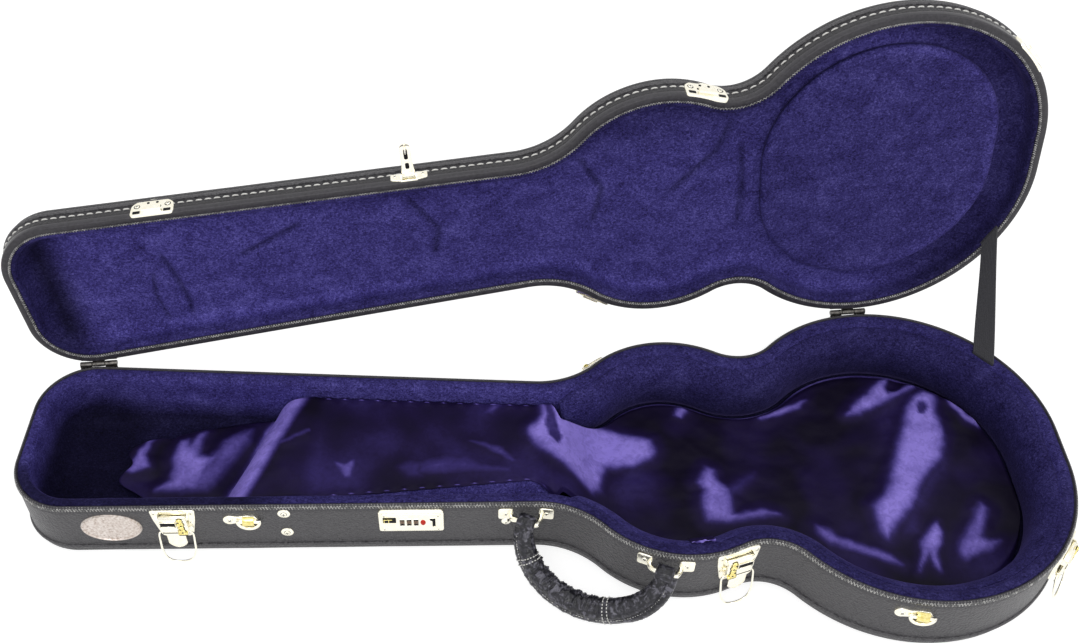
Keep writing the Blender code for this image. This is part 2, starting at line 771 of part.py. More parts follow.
def build_hinge(index, touch, shift):
    centre = touch + HINGE_HEADING * shift
    nearest = min(range(len(REAR_OUTLINE)), key=lambda i: (REAR_OUTLINE[i][0] - centre).length)
    place = wall_frame(centre, HINGE_HEADING, 0.0)
    length = RUN[nearest] + (centre - REAR_OUTLINE[nearest][0]).dot(HINGE_HEADING)
    half = HINGE_WIDTH / 2
    third = HINGE_WIDTH / 3
    clear = KNUCKLE_RADIUS + KNUCKLE_GAP
    round_outline = circle(KNUCKLE_RADIUS, centre=(HINGE_STANDOFF, HINGE_Z))
    bore = along_x(circle(HINGE_PIN_RADIUS + PIN_CLEARANCE, centre=(HINGE_STANDOFF, HINGE_Z)),
                   -half - OVERRUN, half + OVERRUN)
    arm_near = SEAT_GAP + KNUCKLE_GAP
    base_arm = [(arm_near, HINGE_Z - clear - OVERRUN), (HINGE_LEAF_THICKNESS, HINGE_Z - clear - OVERRUN),
                (HINGE_LEAF_THICKNESS, HINGE_Z), (arm_near, HINGE_Z)]
    lid_arm = [(out, 2 * HINGE_Z - z) for out, z in base_arm]
    knuckle_ends = ((-half, -third / 2 - KNUCKLE_GAP), (third / 2 + KNUCKLE_GAP, half))
    leaf_top = HINGE_Z - clear
    base_leaf = saddle(place, length, HINGE_WIDTH, leaf_top - HINGE_LEAF_HEIGHT, leaf_top, HINGE_LEAF_THICKNESS)
    for left, right in knuckle_ends:
        base_leaf = union(base_leaf, along_x(base_arm, left, right), along_x(round_outline, left, right))
    add(f"hinge_{index}_base_leaf", cut(base_leaf, bore), "gold", place)
    leaf_low = HINGE_Z + clear
    lid_leaf = saddle(place, length, HINGE_WIDTH, leaf_low, leaf_low + HINGE_LEAF_HEIGHT, HINGE_LEAF_THICKNESS)
    lid_leaf = union(lid_leaf, along_x(lid_arm, -third / 2, third / 2),
                     along_x(round_outline, -third / 2, third / 2))
    add(f"hinge_{index}_lid_leaf", cut(lid_leaf, bore), "gold", place, lid_pivot)
    pin = along_x(circle(HINGE_PIN_RADIUS, centre=(HINGE_STANDOFF, HINGE_Z)), -half, half)
    add(f"hinge_{index}_pin", pin, "gold", place)


# Draw latch: shared lever and bail meshes, a plate and a catch fitted to each place on the wall
LEVER_OUT = PLATE_PROUD + LEVER_PIVOT_CLEARANCE + LEVER_BARREL_RADIUS
LATCH_TOP = BASE_DEPTH - LATCH_PLATE_DROP
LEVER_Z = BASE_DEPTH - LEVER_PIVOT_DROP
BAIL_Z = LEVER_Z - BAIL_PIVOT_DROP
PLATE_OUTLINE_SHARES = ((-0.5, 1.0), (0.5, 1.0), (0.47, 0.62), (0.36, 0.1), (0.28, 0.0),
                        (-0.28, 0.0), (-0.36, 0.1), (-0.47, 0.62))
CATCH_OUTLINE_SHARES = ((-0.5, 0.0), (0.5, 0.0), (0.47, 0.68), (0.3, 0.93), (0.0, 1.0), (-0.3, 0.93),
                        (-0.47, 0.68))


def lever_mesh():
    tip = LEVER_TIP_WIDTH / 2
    tip_z = -LEVER_LENGTH + tip
    round_tip = [(tip * math.cos(turn), tip_z - tip * math.sin(turn))
                 for turn in [math.pi * step / 6 for step in range(7)]]
    half = LEVER_WIDTH / 2
    outline = [(-half, LEVER_RISE), (half, LEVER_RISE), (half, -BAIL_PIVOT_DROP)] + round_tip
    outline.append((-half, -BAIL_PIVOT_DROP))
    face = LEVER_BARREL_RADIUS
    slab = through_wall(outline, face - LEVER_THICKNESS, face)
    barrel = along_x(circle(LEVER_BARREL_RADIUS), -half, half)
    lower = along_x(circle(BAIL_BARREL_RADIUS, centre=(0, -BAIL_PIVOT_DROP)), -half, half)
    reach = half + OVERRUN
    bore = along_x(circle(LEVER_PIN_RADIUS + PIN_CLEARANCE), -reach, reach)
    lower_bore = along_x(circle(BAIL_WIRE_RADIUS + PIN_CLEARANCE, centre=(0, -BAIL_PIVOT_DROP)),
                         -reach, reach)
    slot = through_wall(box_outline(LEVER_SLOT_WIDTH / 2, -LEVER_SLOT_DROP - LEVER_SLOT_HEIGHT,
                                    -LEVER_SLOT_DROP), -OVERRUN, face + OVERRUN)
    return cut(union(slab, barrel, lower), bore, lower_bore, slot)


def bail_mesh():
    inner = LEVER_WIDTH / 2 - BAIL_PIN_REACH
    right = [Vector((inner, 0, 0)), Vector((BAIL_ARM_SPREAD, 0, 0)),
             Vector((BAIL_ARM_SPREAD, 0, -BAIL_LENGTH * 0.64)),
             Vector((BAIL_TIP_SPREAD, 0, -BAIL_LENGTH * 0.89))]
    left = [Vector((-point.x, 0, point.z)) for point in reversed(right)]
    route = right + [Vector((0, 0, -BAIL_LENGTH))] + left
    return tube(route, [BAIL_WIRE_RADIUS] * len(route), 6)


def build_latch(index, length, lever, bail):
    place = station(length, LATCH_PLATE_WIDTH)
    low = LATCH_TOP - LATCH_PLATE_HEIGHT
    outline = [(u * LATCH_PLATE_WIDTH, low + v * LATCH_PLATE_HEIGHT) for u, v in PLATE_OUTLINE_SHARES]
    plate = shaped_plate(place, length, outline, PLATE_PROUD)
    ear_near = LEVER_WIDTH / 2 + EAR_CLEARANCE
    ear_far = ear_near + EAR_THICKNESS
    ear_outline = [(PLATE_PROUD / 2, LEVER_Z - EAR_HALF_HEIGHT), (LEVER_OUT, LEVER_Z - EAR_HALF_HEIGHT),
                   (LEVER_OUT + LEVER_PIN_RADIUS, LEVER_Z), (LEVER_OUT, LEVER_Z + EAR_HALF_HEIGHT),
                   (PLATE_PROUD / 2, LEVER_Z + EAR_HALF_HEIGHT)]
    pin = along_x(circle(LEVER_PIN_RADIUS, centre=(LEVER_OUT, LEVER_Z)), -ear_far, ear_far)
    plate = union(plate, along_x(ear_outline, -ear_far, -ear_near),
                  along_x(ear_outline, ear_near, ear_far), pin)
    add(f"latch_{index}_plate", plate, "gold", place)
    lever_place = place @ Matrix.Translation((0, -LEVER_OUT, LEVER_Z))
    add(f"latch_{index}_lever", lever, "gold", lever_place)
    bail_place = place @ Matrix.Translation((0, -LEVER_OUT, BAIL_Z))
    add(f"latch_{index}_bail", bail, "gold", bail_place @ Matrix.Rotation(-BAIL_REST_ANGLE, 4, "X"))
    lid_place = station(length, LATCH_PLATE_WIDTH, LID_RIM)
    outline = [(u * CATCH_WIDTH, CATCH_SETBACK + v * CATCH_HEIGHT) for u, v in CATCH_OUTLINE_SHARES]
    catch = shaped_plate(lid_place, length, outline, PLATE_PROUD)
    hook_low = CATCH_SETBACK + CATCH_HOOK_THICKNESS
    lip = CATCH_HOOK_REACH - CATCH_HOOK_THICKNESS
    hook = [(PLATE_PROUD / 2, hook_low), (CATCH_HOOK_REACH, hook_low),
            (CATCH_HOOK_REACH, hook_low + CATCH_HOOK_HEIGHT), (lip, hook_low + CATCH_HOOK_HEIGHT),
            (lip, hook_low + CATCH_HOOK_THICKNESS), (PLATE_PROUD / 2, hook_low + CATCH_HOOK_THICKNESS)]
    catch = union(catch, along_x(hook, -CATCH_HOOK_WIDTH / 2, CATCH_HOOK_WIDTH / 2))
    add(f"latch_{index}_catch", catch, "gold", lid_place, lid_pivot)


# Combination lock
LOCK_Z = BASE_DEPTH - LOCK_CENTRE_DROP
DIAL_OUT = LOCK_PROUD + DIAL_PROUD - DIAL_RADIUS


def dial_places():
    first = -DIAL_GROUP_OFFSET - DIAL_PITCH * (DIAL_COUNT - 1) / 2
    return [first + DIAL_PITCH * index for index in range(DIAL_COUNT)]


def lock_station():
    length = length_at_share(LOCK_SHARE, FRONT)
    return length, station(length, LOCK_WIDTH)


def lock_pocket():
    """Room in the wall behind the dials."""
    length, place = lock_station()
    places = dial_places()
    half_dial = DIAL_THICKNESS / 2 + POCKET_CLEARANCE
    left = places[0] - half_dial
    right = places[-1] + half_dial
    half_height = DIAL_RADIUS + POCKET_CLEARANCE
    depth = DIAL_RADIUS - DIAL_OUT + POCKET_CLEARANCE
    pocket = ring_mesh([[(x, y, z) for x, z in ((left, LOCK_Z - half_height), (right, LOCK_Z - half_height),
                                                 (right, LOCK_Z + half_height), (left, LOCK_Z + half_height))]
                        for y in (-OVERRUN, depth)])
    pocket.transform(place)
    return pocket


def build_lock():
    length, place = lock_station()
    half = LOCK_WIDTH / 2
    low = LOCK_Z - LOCK_HEIGHT / 2
    high = LOCK_Z + LOCK_HEIGHT / 2
    outline = [(-half + LOCK_ROUNDING, low), (half - LOCK_ROUNDING, low), (half, low + LOCK_ROUNDING),
               (half, high - LOCK_ROUNDING), (half - LOCK_ROUNDING, high), (-half + LOCK_ROUNDING, high),
               (-half, high - LOCK_ROUNDING), (-half, low + LOCK_ROUNDING)]
    housing = shaped_plate(place, length, outline, LOCK_PROUD)
    behind = -OVERRUN
    front = LOCK_PROUD + OVERRUN
    window_half = DIAL_THICKNESS / 2 + DIAL_CLEARANCE
    window = through_wall(box_outline(window_half, LOCK_Z - DIAL_RADIUS - DIAL_CLEARANCE,
                                      LOCK_Z + DIAL_RADIUS + DIAL_CLEARANCE), behind, front)
    places = dial_places()
    shaft_left = places[0] - window_half - SHAFT_OVERRUN
    shaft_right = places[-1] + window_half + SHAFT_OVERRUN
    bore = along_x(circle(DIAL_SHAFT_RADIUS + PIN_CLEARANCE, centre=(DIAL_OUT, LOCK_Z)),
                   shaft_left - SEAT_GAP, shaft_right + SEAT_GAP)
    slider_low = LOCK_Z + SLIDER_RISE - SLIDER_HEIGHT / 2
    slider_high = LOCK_Z + SLIDER_RISE + SLIDER_HEIGHT / 2
    slider_room = (SLIDER_LENGTH + SLIDER_TRAVEL) / 2 + SEAT_GAP
    slider_window = through_wall(box_outline(slider_room, slider_low - SEAT_GAP, slider_high + SEAT_GAP),
                                 behind, front)
    hasp_slot = through_wall(box_outline(HASP_SLOT_WIDTH / 2, LOCK_Z - HASP_SLOT_HEIGHT / 2,
                                         LOCK_Z + HASP_SLOT_HEIGHT / 2), behind, front)
    lamp_hole = through_wall(circle(INDICATOR_RADIUS + SEAT_GAP, centre=(INDICATOR_OFFSET, LOCK_Z)),
                             behind, front)
    tools = [moved(window, x) for x in places]
    tools += [bore, moved(slider_window, SLIDER_OFFSET), moved(hasp_slot, HASP_SLOT_OFFSET), lamp_hole]
    add("lock_plate", cut(housing, *tools), "gold", place)
    shaft = along_x(circle(DIAL_SHAFT_RADIUS, centre=(DIAL_OUT, LOCK_Z)), shaft_left, shaft_right)
    add("lock_dial_shaft", shaft, "gold", place)
    for index, x in enumerate(places):
        half_dial = DIAL_THICKNESS / 2
        dial = cut(along_x(circle(DIAL_RADIUS, 20), -half_dial, half_dial),
                   along_x(circle(DIAL_SHAFT_RADIUS + PIN_CLEARANCE), -half_dial - OVERRUN, half_dial + OVERRUN))
        add(f"lock_dial_{index + 1}", dial, "dial", place @ Matrix.Translation((x, -DIAL_OUT, LOCK_Z)), smooth=True)
    lamp = through_wall(circle(INDICATOR_RADIUS), SEAT_GAP, LOCK_PROUD)
    add("lock_indicator", lamp, "indicator", place @ Matrix.Translation((INDICATOR_OFFSET, 0, LOCK_Z)))
    half_slider = SLIDER_LENGTH / 2
    slider = through_wall(box_outline(half_slider, slider_low - LOCK_Z, slider_high - LOCK_Z),
                          2 * SEAT_GAP, LOCK_PROUD + SLIDER_PROUD)
    slider_rest = SLIDER_OFFSET - SLIDER_TRAVEL / 2
    add("lock_slider", slider, "slider", place @ Matrix.Translation((slider_rest, 0, LOCK_Z)))


def build_hasp():
    """Hasp plate on the lid and the tongue whose staple drops into the lock's slot."""
    length = length_at_share(LOCK_SHARE, FRONT) - HASP_SLOT_OFFSET
    place = station(length, HASP_PLATE_WIDTH, LID_RIM)
    half = HASP_PLATE_WIDTH / 2
    low = HASP_PLATE_SETBACK
    high = low + HASP_PLATE_HEIGHT
    plate = shaped_plate(place, length, box_outline(half, low, high), PLATE_PROUD)
    axis_out = PLATE_PROUD + LEVER_PIVOT_CLEARANCE + HASP_BARREL_RADIUS
    axis_z = HASP_AXIS_SETBACK
    ear_near = HASP_WIDTH / 2 + EAR_CLEARANCE
    ear_far = ear_near + EAR_THICKNESS
    ear = [(PLATE_PROUD / 2, axis_z - EAR_HALF_HEIGHT), (axis_out, axis_z - EAR_HALF_HEIGHT),
           (axis_out + HASP_PIN_RADIUS, axis_z), (axis_out, axis_z + EAR_HALF_HEIGHT),
           (PLATE_PROUD / 2, axis_z + EAR_HALF_HEIGHT)]
    pin = along_x(circle(HASP_PIN_RADIUS, centre=(axis_out, axis_z)), -ear_far, ear_far)
    plate = union(plate, along_x(ear, -ear_far, -ear_near), along_x(ear, ear_near, ear_far), pin)
    add("hasp_plate", plate, "gold", place, lid_pivot)
    half_width = HASP_WIDTH / 2
    near = LOCK_PROUD + LEVER_PIVOT_CLEARANCE - axis_out
    far = near + HASP_THICKNESS
    tongue = through_wall([(-half_width, 0), (half_width, 0), (half_width, -HASP_LENGTH * 0.8),
                           (half_width * 0.5, -HASP_LENGTH), (-half_width * 0.5, -HASP_LENGTH),
                           (-half_width, -HASP_LENGTH * 0.8)], near, far)
    barrel = along_x(circle(HASP_BARREL_RADIUS), -half_width, half_width)
    staple_z = LOCK_Z - LID_RIM - axis_z
    staple = through_wall(box_outline(HASP_STAPLE_WIDTH / 2, staple_z - HASP_STAPLE_HEIGHT / 2,
                                      staple_z + HASP_STAPLE_HEIGHT / 2),
                          near - HASP_STAPLE_REACH, near + HASP_THICKNESS / 2)
    bore = along_x(circle(HASP_PIN_RADIUS + PIN_CLEARANCE), -half_width - OVERRUN, half_width + OVERRUN)
    hasp = cut(union(tongue, barrel, staple), bore)
    rest = Matrix.Rotation(-HASP_REST_ANGLE, 4, "X")
    add("lock_hasp", hasp, "gold", place @ Matrix.Translation((0, -axis_out, axis_z)) @ rest, lid_pivot)


# Handle: both brackets carry a bar on one common axis
HANDLE_Z = BASE_DEPTH - HANDLE_PIVOT_DROP


def handle_frame():
    """Frame whose X is the handle's axis, through both bracket bars."""
    ends = []
    for share in HANDLE_SHARES:
        length = length_at_share(share, FRONT)
        point, outward = outline_at(length)
        ends.append(point + outward * HANDLE_STANDOFF)
    left, right = ends
    heading = (left - right).normalized()
    return wall_frame((left + right) / 2, heading, HANDLE_Z), (right - left).length / 2


def build_bracket(name, share, frame, offset_x):
    length = length_at_share(share, FRONT)
    place = station(length, 2 * BRACKET_TAB_SPREAD)
    inverse = place.inverted()
    half_bar = BRACKET_BAR_LENGTH / 2
    bar = [inverse @ frame @ Vector((offset_x + x, 0, 0)) for x in (-half_bar, half_bar)]
    half_tab = BRACKET_TAB / 2
    root = Vector((0, -PLATE_PROUD / 2, 0))
    knee = Vector((0, -HANDLE_STANDOFF * BRACKET_KNEE_SHARE, 0))
    seats = []
    for side in (-1, 1):
        x = side * BRACKET_TAB_SPREAD
        foot = inverse @ Vector((*outline_at(length - x)[0], 0))
        seats.append(Vector((x, foot.y, HANDLE_Z)))
    route = [seats[0] + root, seats[0] + knee, bar[0], bar[1], seats[1] + knee, seats[1] + root]
    bracket = tube(route, [BRACKET_WIRE_RADIUS] * len(route), 8)
    for seat in seats:
        bracket = union(bracket, shaped_tab(place, length, seat.x, half_tab))
    add(name, bracket, "gold", place)


def shaped_tab(place, length, x, half_tab):
    """Small square plate that follows the wall beside the handle's end."""
    samples = outline_run(length - x - 2 * half_tab, length - x + 2 * half_tab)
    inverse = place.inverted()
    rings = []
    for inset in (-SEAT_GAP, -SEAT_GAP - PLATE_PROUD):
        line = []
        for point in offset(samples, inset):
            local = inverse @ Vector((point.x, point.y, 0))
            line.append((local.x, -local.y))
        line.sort()
        between = [point for point in line if x - half_tab < point[0] < x + half_tab]
        rings.append([(x - half_tab, value_at(line, x - half_tab))] + between
                     + [(x + half_tab, value_at(line, x + half_tab))])
    back, front = rings
    return along_z(back + front[::-1], HANDLE_Z - half_tab, HANDLE_Z + half_tab)


def build_handle():
    frame, half_span = handle_frame()
    build_bracket("handle_bracket_left", HANDLE_SHARES[0], frame, -half_span)
    build_bracket("handle_bracket_right", HANDLE_SHARES[1], frame, half_span)
    route = []
    radii = []
    for step in range(HANDLE_STEPS + 1):
        turn = math.pi * step / HANDLE_STEPS
        route.append(Vector((-half_span * math.cos(turn), 0, -HANDLE_REACH * math.sin(turn))))
        radii.append(HANDLE_END_RADIUS + (HANDLE_GRIP_RADIUS - HANDLE_END_RADIUS) * math.sin(turn))
    grip = tube(route, radii, 10)
    half_eye = HANDLE_EYE_LENGTH / 2
    reach = half_eye + HANDLE_GRIP_RADIUS
    for x in (-half_span, half_span):
        grip = union(grip, along_x(circle(HANDLE_EYE_RADIUS), x - half_eye, x + half_eye))
    for x in (-half_span, half_span):
        bore_radius = BRACKET_WIRE_RADIUS + BRACKET_CLEARANCE
        grip = cut(grip, along_x(circle(bore_radius), x - reach, x + reach))
    rest = Matrix.Rotation(-HANDLE_REST_ANGLE, 4, "X")
    add("handle", grip, "leather", frame @ rest, smooth=True)


def build_anchor(index, share):
    length = length_at_share(share, FRONT)
    place = station(length, ANCHOR_LENGTH)
    z = BASE_DEPTH - ANCHOR_DROP
    half_height = ANCHOR_HEIGHT / 2
    lobe = ANCHOR_LENGTH / 2 - half_height
    turns = [math.pi * step / 5 for step in range(6)]
    outline = [(lobe + half_height * math.sin(turn), z - half_height * math.cos(turn)) for turn in turns]
    outline += [(-lobe - half_height * math.sin(turn), z + half_height * math.cos(turn)) for turn in turns]
    plate = shaped_plate(place, length, outline, PLATE_PROUD)
    bar_out = PLATE_PROUD + RING_CLEARANCE + RING_WIRE_RADIUS
    room = RING_WIRE_RADIUS + RING_CLEARANCE
    shell = room + BRIDGE_THICKNESS
    root = PLATE_PROUD / 2
    arch = [(root, z - shell), (bar_out, z - shell), (bar_out + shell, z - shell / 2),
            (bar_out + shell, z + shell / 2), (bar_out, z + shell), (root, z + shell), (root, z + room),
            (bar_out, z + room), (bar_out + room, z + room / 2), (bar_out + room, z - room / 2),
            (bar_out, z - room), (root, z - room)]
    left = ANCHOR_BRIDGE_OFFSET - BRIDGE_LENGTH / 2
    plate = union(plate, along_x(arch, left, left + BRIDGE_LENGTH))
    add(f"strap_anchor_{index}_plate", plate, "gold", place)
    turns = [math.pi * step / 8 for step in range(9)]
    route = [Vector((0, 0, 0))]
    route += [Vector((RING_RADIUS * math.cos(turn), 0, -RING_RADIUS * math.sin(turn))) for turn in turns]
    ring = tube(route, [RING_WIRE_RADIUS] * len(route), 6, looped=True)
    add(f"strap_anchor_{index}_ring", ring, "gold",
        place @ Matrix.Translation((ANCHOR_BRIDGE_OFFSET, -bar_out, z)), smooth=True)


def build_badge():
    length = length_at_share(BADGE_SHARE, FRONT)
    place = station(length, BADGE_WIDTH)
    z = BASE_DEPTH * 0.58
    outline = [(BADGE_WIDTH * u, z + BADGE_HEIGHT * v) for u, v in circle(0.5, 24)]
    add("badge_plate", shaped_plate(place, length, outline, BADGE_THICKNESS), "badge", place)


def build_rivet(index, height_share):
    length = length_at_share(RIVET_SHARE, FRONT)
    place = station(length, 2 * RIVET_RADIUS)
    z = BASE_DEPTH * height_share
    dome = ((1.0, 0.0), (1.0, 0.25), (0.8, 0.7), (0.4, 1.0))
    rings = []
    for radius_share, rise_share in dome:
        out = SEAT_GAP + RIVET_HEIGHT * rise_share
        rings.append([(x, -out, w) for x, w in circle(RIVET_RADIUS * radius_share)])
    add(f"front_rivet_{index}", ring_mesh(rings), "gold", place @ Matrix.Translation((0, 0, z)), smooth=True)


def build_strap():
    """Webbing from inside the base rim to inside the lid rim, pulled straight by the open lid."""
    inner_radius = LOWER_BOUT_RADIUS - WALL
    sag = inner_radius - math.sqrt(inner_radius ** 2 - (STRAP_WIDTH / 2) ** 2)
    inset = WALL + SEAT_GAP + CHORD_ERROR + sag + STRAP_THICKNESS / 2
    opening = OPEN_PIVOT @ CLOSED_PIVOT.inverted()
    ends = []
    for turn in (STRAP_BASE_BEARING, STRAP_LID_BEARING):
        length = length_at_bearing(turn)
        point, outward = outline_at(length)
        run = Vector((outward.y, -outward.x, 0))
        ends.append((point - outward * inset, run, Vector((*outward, 0))))
    (base, base_run, base_out), (lid, lid_run, lid_out) = ends
    up = Vector((0, 0, 1))
    turned = opening.to_3x3()
    knots = [(Vector((*base, BASE_DEPTH - STRAP_TUCK)), base_run, base_out),
             (Vector((*base, BASE_DEPTH + STRAP_LIFT)), base_run, base_out),
             (opening @ Vector((*lid, LID_RIM - STRAP_LIFT)), turned @ lid_run, turned @ lid_out),
             (opening @ Vector((*lid, LID_RIM + STRAP_TUCK)), turned @ lid_run, turned @ lid_out)]
    half_width = STRAP_WIDTH / 2
    half_thick = STRAP_THICKNESS / 2
    rings = [[point + run * u * half_width + out * v * half_thick
              for u, v in ((-1, -1), (1, -1), (1, 1), (-1, 1))] for point, run, out in knots]
    add("lid_stay_strap", ring_mesh(rings), "webbing")


def build_hardware():
    build_hinge(1, HEAD_TOUCH, HEAD_HINGE_SHIFT)
    build_hinge(2, TAIL_TOUCH, 0.0)
    lever = lever_mesh()
    bail = bail_mesh()
    places = [length_at_share(share, FRONT) for share in FRONT_LATCH_SHARES]
    places += [length_at_bearing(BUTT_LATCH_BEARING), length_at_share(REAR_LATCH_SHARE, REAR)]
    for index, length in enumerate(places):
        build_latch(index + 1, length, lever, bail)
    build_lock()
    build_hasp()
    build_handle()
    for index, share in enumerate(ANCHOR_SHARES):
        build_anchor(index + 1, share)
    build_badge()
    for index, share in enumerate(RIVET_HEIGHT_SHARES):
        build_rivet(index + 1, share)
    build_strap()


build_base()
build_lid()
build_hardware()
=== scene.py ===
"""Looks of the open guitar case: vinyl shells, plush linings, satin cover, hardware and handle.

Metres, +Z up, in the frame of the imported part. Pieces of the lid are made as if the lid were
closed and then turned open about its hinge, which is how the part rests.
"""
import json
import math

import bmesh
import bpy
import numpy as np
from mathutils import Matrix, Vector, noise


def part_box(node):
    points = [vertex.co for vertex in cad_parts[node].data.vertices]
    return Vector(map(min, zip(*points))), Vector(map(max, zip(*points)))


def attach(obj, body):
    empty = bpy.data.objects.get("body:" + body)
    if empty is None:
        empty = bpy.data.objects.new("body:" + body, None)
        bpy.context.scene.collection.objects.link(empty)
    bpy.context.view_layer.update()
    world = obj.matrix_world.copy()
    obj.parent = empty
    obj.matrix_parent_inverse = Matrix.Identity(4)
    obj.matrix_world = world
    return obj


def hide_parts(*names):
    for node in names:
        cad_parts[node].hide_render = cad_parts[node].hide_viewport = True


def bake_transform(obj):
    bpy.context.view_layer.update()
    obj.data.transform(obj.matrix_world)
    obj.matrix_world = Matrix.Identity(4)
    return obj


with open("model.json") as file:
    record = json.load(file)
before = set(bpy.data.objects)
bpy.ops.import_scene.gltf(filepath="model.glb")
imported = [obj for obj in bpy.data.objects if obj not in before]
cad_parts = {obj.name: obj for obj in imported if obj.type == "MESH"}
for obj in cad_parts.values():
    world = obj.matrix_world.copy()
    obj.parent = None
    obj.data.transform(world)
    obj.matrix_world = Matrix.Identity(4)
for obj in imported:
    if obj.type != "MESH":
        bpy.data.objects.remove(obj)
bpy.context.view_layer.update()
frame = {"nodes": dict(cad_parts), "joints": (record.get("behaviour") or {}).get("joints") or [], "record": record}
nodes = frame["nodes"]
joints = {joint["name"]: joint for joint in frame["joints"]}

# Plan outline of the case
CASE_LENGTH = 1.080
HEAD_WIDTH = 0.188
NECK_WIDTH = 0.160
UPPER_BOUT_WIDTH = 0.279
LOWER_BOUT_WIDTH = 0.372
HEAD_CORNER_RADIUS = 0.060
UPPER_BOUT_RADIUS = 0.115
NECK_FILLET_RADIUS = 0.090
WAIST_FILLET_RADIUS = 0.050
TAIL_FLAT = 0.042
LOWER_BOUT_RADIUS = (LOWER_BOUT_WIDTH - TAIL_FLAT) / 2
UPPER_BOUT_STATION = 0.6315 * CASE_LENGTH
OUTLINE_STEP = 0.0026
CROSS_STEPS = 72

# Walls, panels, binding and linings
BASE_DEPTH = 0.081
LID_DEPTH = 0.036
RIM_GAP = 0.0006
LID_RIM = BASE_DEPTH + RIM_GAP
LID_TOP = LID_RIM + LID_DEPTH
WALL = 0.011
PANEL = 0.006
EDGE_RADIUS = 0.008
BINDING_HEIGHT = 0.008
BINDING_THICKNESS = 0.0014
GAP = 0.0003
LINING = 0.004
LINED_WALL = WALL + LINING + 2 * GAP
FLOOR_TOP = PANEL + GAP + 0.005
LID_FACE = LID_TOP - FLOOR_TOP
BOLSTER_WIDTH = 0.019
BOLSTER_CLEARANCE = 0.006
BLOCK_START = (0.268 - 0.5) * CASE_LENGTH
BLOCK_END = (0.512 - 0.5) * CASE_LENGTH
BLOCK_TOP = 0.058
PAD_MARGIN = 0.042
PAD_THICKNESS = 0.008
LID_OPEN_ANGLE = math.radians(94)


# The photograph, in pixels, and the camera fitted to it
PHOTO_WIDTH = 1080
PHOTO_HEIGHT = 643
FOCAL_PIXELS = 1223.6
PRINCIPAL_X = 471.2
PRINCIPAL_Y = 309.0
CAMERA_PLACE = (-0.0487, -0.7861, 1.0934)
CAMERA_PITCH = math.radians(-46.131)
CAMERA_ROLL = math.radians(0.560)
CAMERA_YAW = math.radians(1.591)
CAMERA_TURN = (Matrix.Rotation(CAMERA_YAW, 3, "Z") @ Matrix.Rotation(CAMERA_PITCH, 3, "X")
               @ Matrix.Rotation(CAMERA_ROLL, 3, "Y"))
# Enlarged parts of it: left, top and scale
TAIL_PART = (680, 360, 5)
BLOCK_PART = (400, 340, 3)
SPILL_PART = (90, 360, 4)


def turned_about(point, axis, angle):
    move = Matrix.Translation(point)
    return move @ Matrix.Rotation(angle, 4, Vector(axis)) @ move.inverted()


OPENING = turned_about(joints["lid_hinge"]["pos_m"], joints["lid_hinge"]["axis"], LID_OPEN_ANGLE)


# Plan outline: points and outward normals of the rear side, from head to tail
def arc(centre, radius, start, end, facing=1):
    steps = max(2, math.ceil(abs(end - start) * radius / OUTLINE_STEP))
    turns = np.linspace(start, end, steps + 1)
    spokes = np.column_stack([np.cos(turns), np.sin(turns)])
    return np.array(centre) + spokes * radius, spokes * facing


def bearing(vector):
    return math.atan2(vector[1], vector[0])


def rear_outline():
    head = np.array((-CASE_LENGTH / 2 + HEAD_CORNER_RADIUS, HEAD_WIDTH / 2 - HEAD_CORNER_RADIUS))
    upper = np.array((-CASE_LENGTH / 2 + UPPER_BOUT_STATION, UPPER_BOUT_WIDTH / 2 - UPPER_BOUT_RADIUS))
    lower = np.array((CASE_LENGTH / 2 - LOWER_BOUT_RADIUS, TAIL_FLAT / 2))
    rise = NECK_WIDTH / 2 + NECK_FILLET_RADIUS - upper[1]
    reach = UPPER_BOUT_RADIUS + NECK_FILLET_RADIUS
    neck_end = upper[0] - math.sqrt(reach ** 2 - rise ** 2)
    slope = math.atan2(NECK_WIDTH / 2 - HEAD_WIDTH / 2, neck_end - head[0])
    flank = np.array((math.cos(slope), math.sin(slope)))
    flank_normal = np.array((-flank[1], flank[0]))
    height = (head + flank_normal * (HEAD_CORNER_RADIUS + NECK_FILLET_RADIUS) - upper) @ flank_normal
    fillet = upper + flank_normal * height - flank * math.sqrt(reach ** 2 - height ** 2)
    span = lower - upper
    length = np.linalg.norm(span)
    near = UPPER_BOUT_RADIUS + WAIST_FILLET_RADIUS
    far = LOWER_BOUT_RADIUS + WAIST_FILLET_RADIUS
    along = (near ** 2 - far ** 2 + length ** 2) / (2 * length)
    heading = span / length
    waist = upper + heading * along + np.array((-heading[1], heading[0])) * math.sqrt(near ** 2 - along ** 2)
    corner = arc(head, HEAD_CORNER_RADIUS, math.pi, bearing(flank_normal))
    neck = arc(fillet, NECK_FILLET_RADIUS, bearing(-flank_normal), bearing(upper - fillet), -1)
    steps = math.ceil(np.linalg.norm(neck[0][0] - corner[0][-1]) / OUTLINE_STEP)
    shares = np.linspace(0, 1, steps + 1)[1:-1, None]
    straight = corner[0][-1] * (1 - shares) + neck[0][0] * shares
    runs = [corner, (straight, np.tile(flank_normal, (len(straight), 1))), neck]
    for piece in (arc(upper, UPPER_BOUT_RADIUS, bearing(fillet - upper), bearing(waist - upper)),
                  arc(waist, WAIST_FILLET_RADIUS, bearing(upper - waist), bearing(lower - waist), -1),
                  arc(lower, LOWER_BOUT_RADIUS, bearing(waist - lower), 0.0)):
        runs.append((piece[0][1:], piece[1][1:]))
    return np.concatenate([run[0] for run in runs]), np.concatenate([run[1] for run in runs])


REAR_POINTS, REAR_NORMALS = rear_outline()
COLUMNS = len(REAR_POINTS)
FLIP = np.array((1, -1))


def loop_normals():
    flats = CROSS_STEPS - 1
    tail = np.tile((1.0, 0.0), (flats, 1))
    return np.concatenate([REAR_NORMALS, tail, REAR_NORMALS[::-1] * FLIP, -tail])


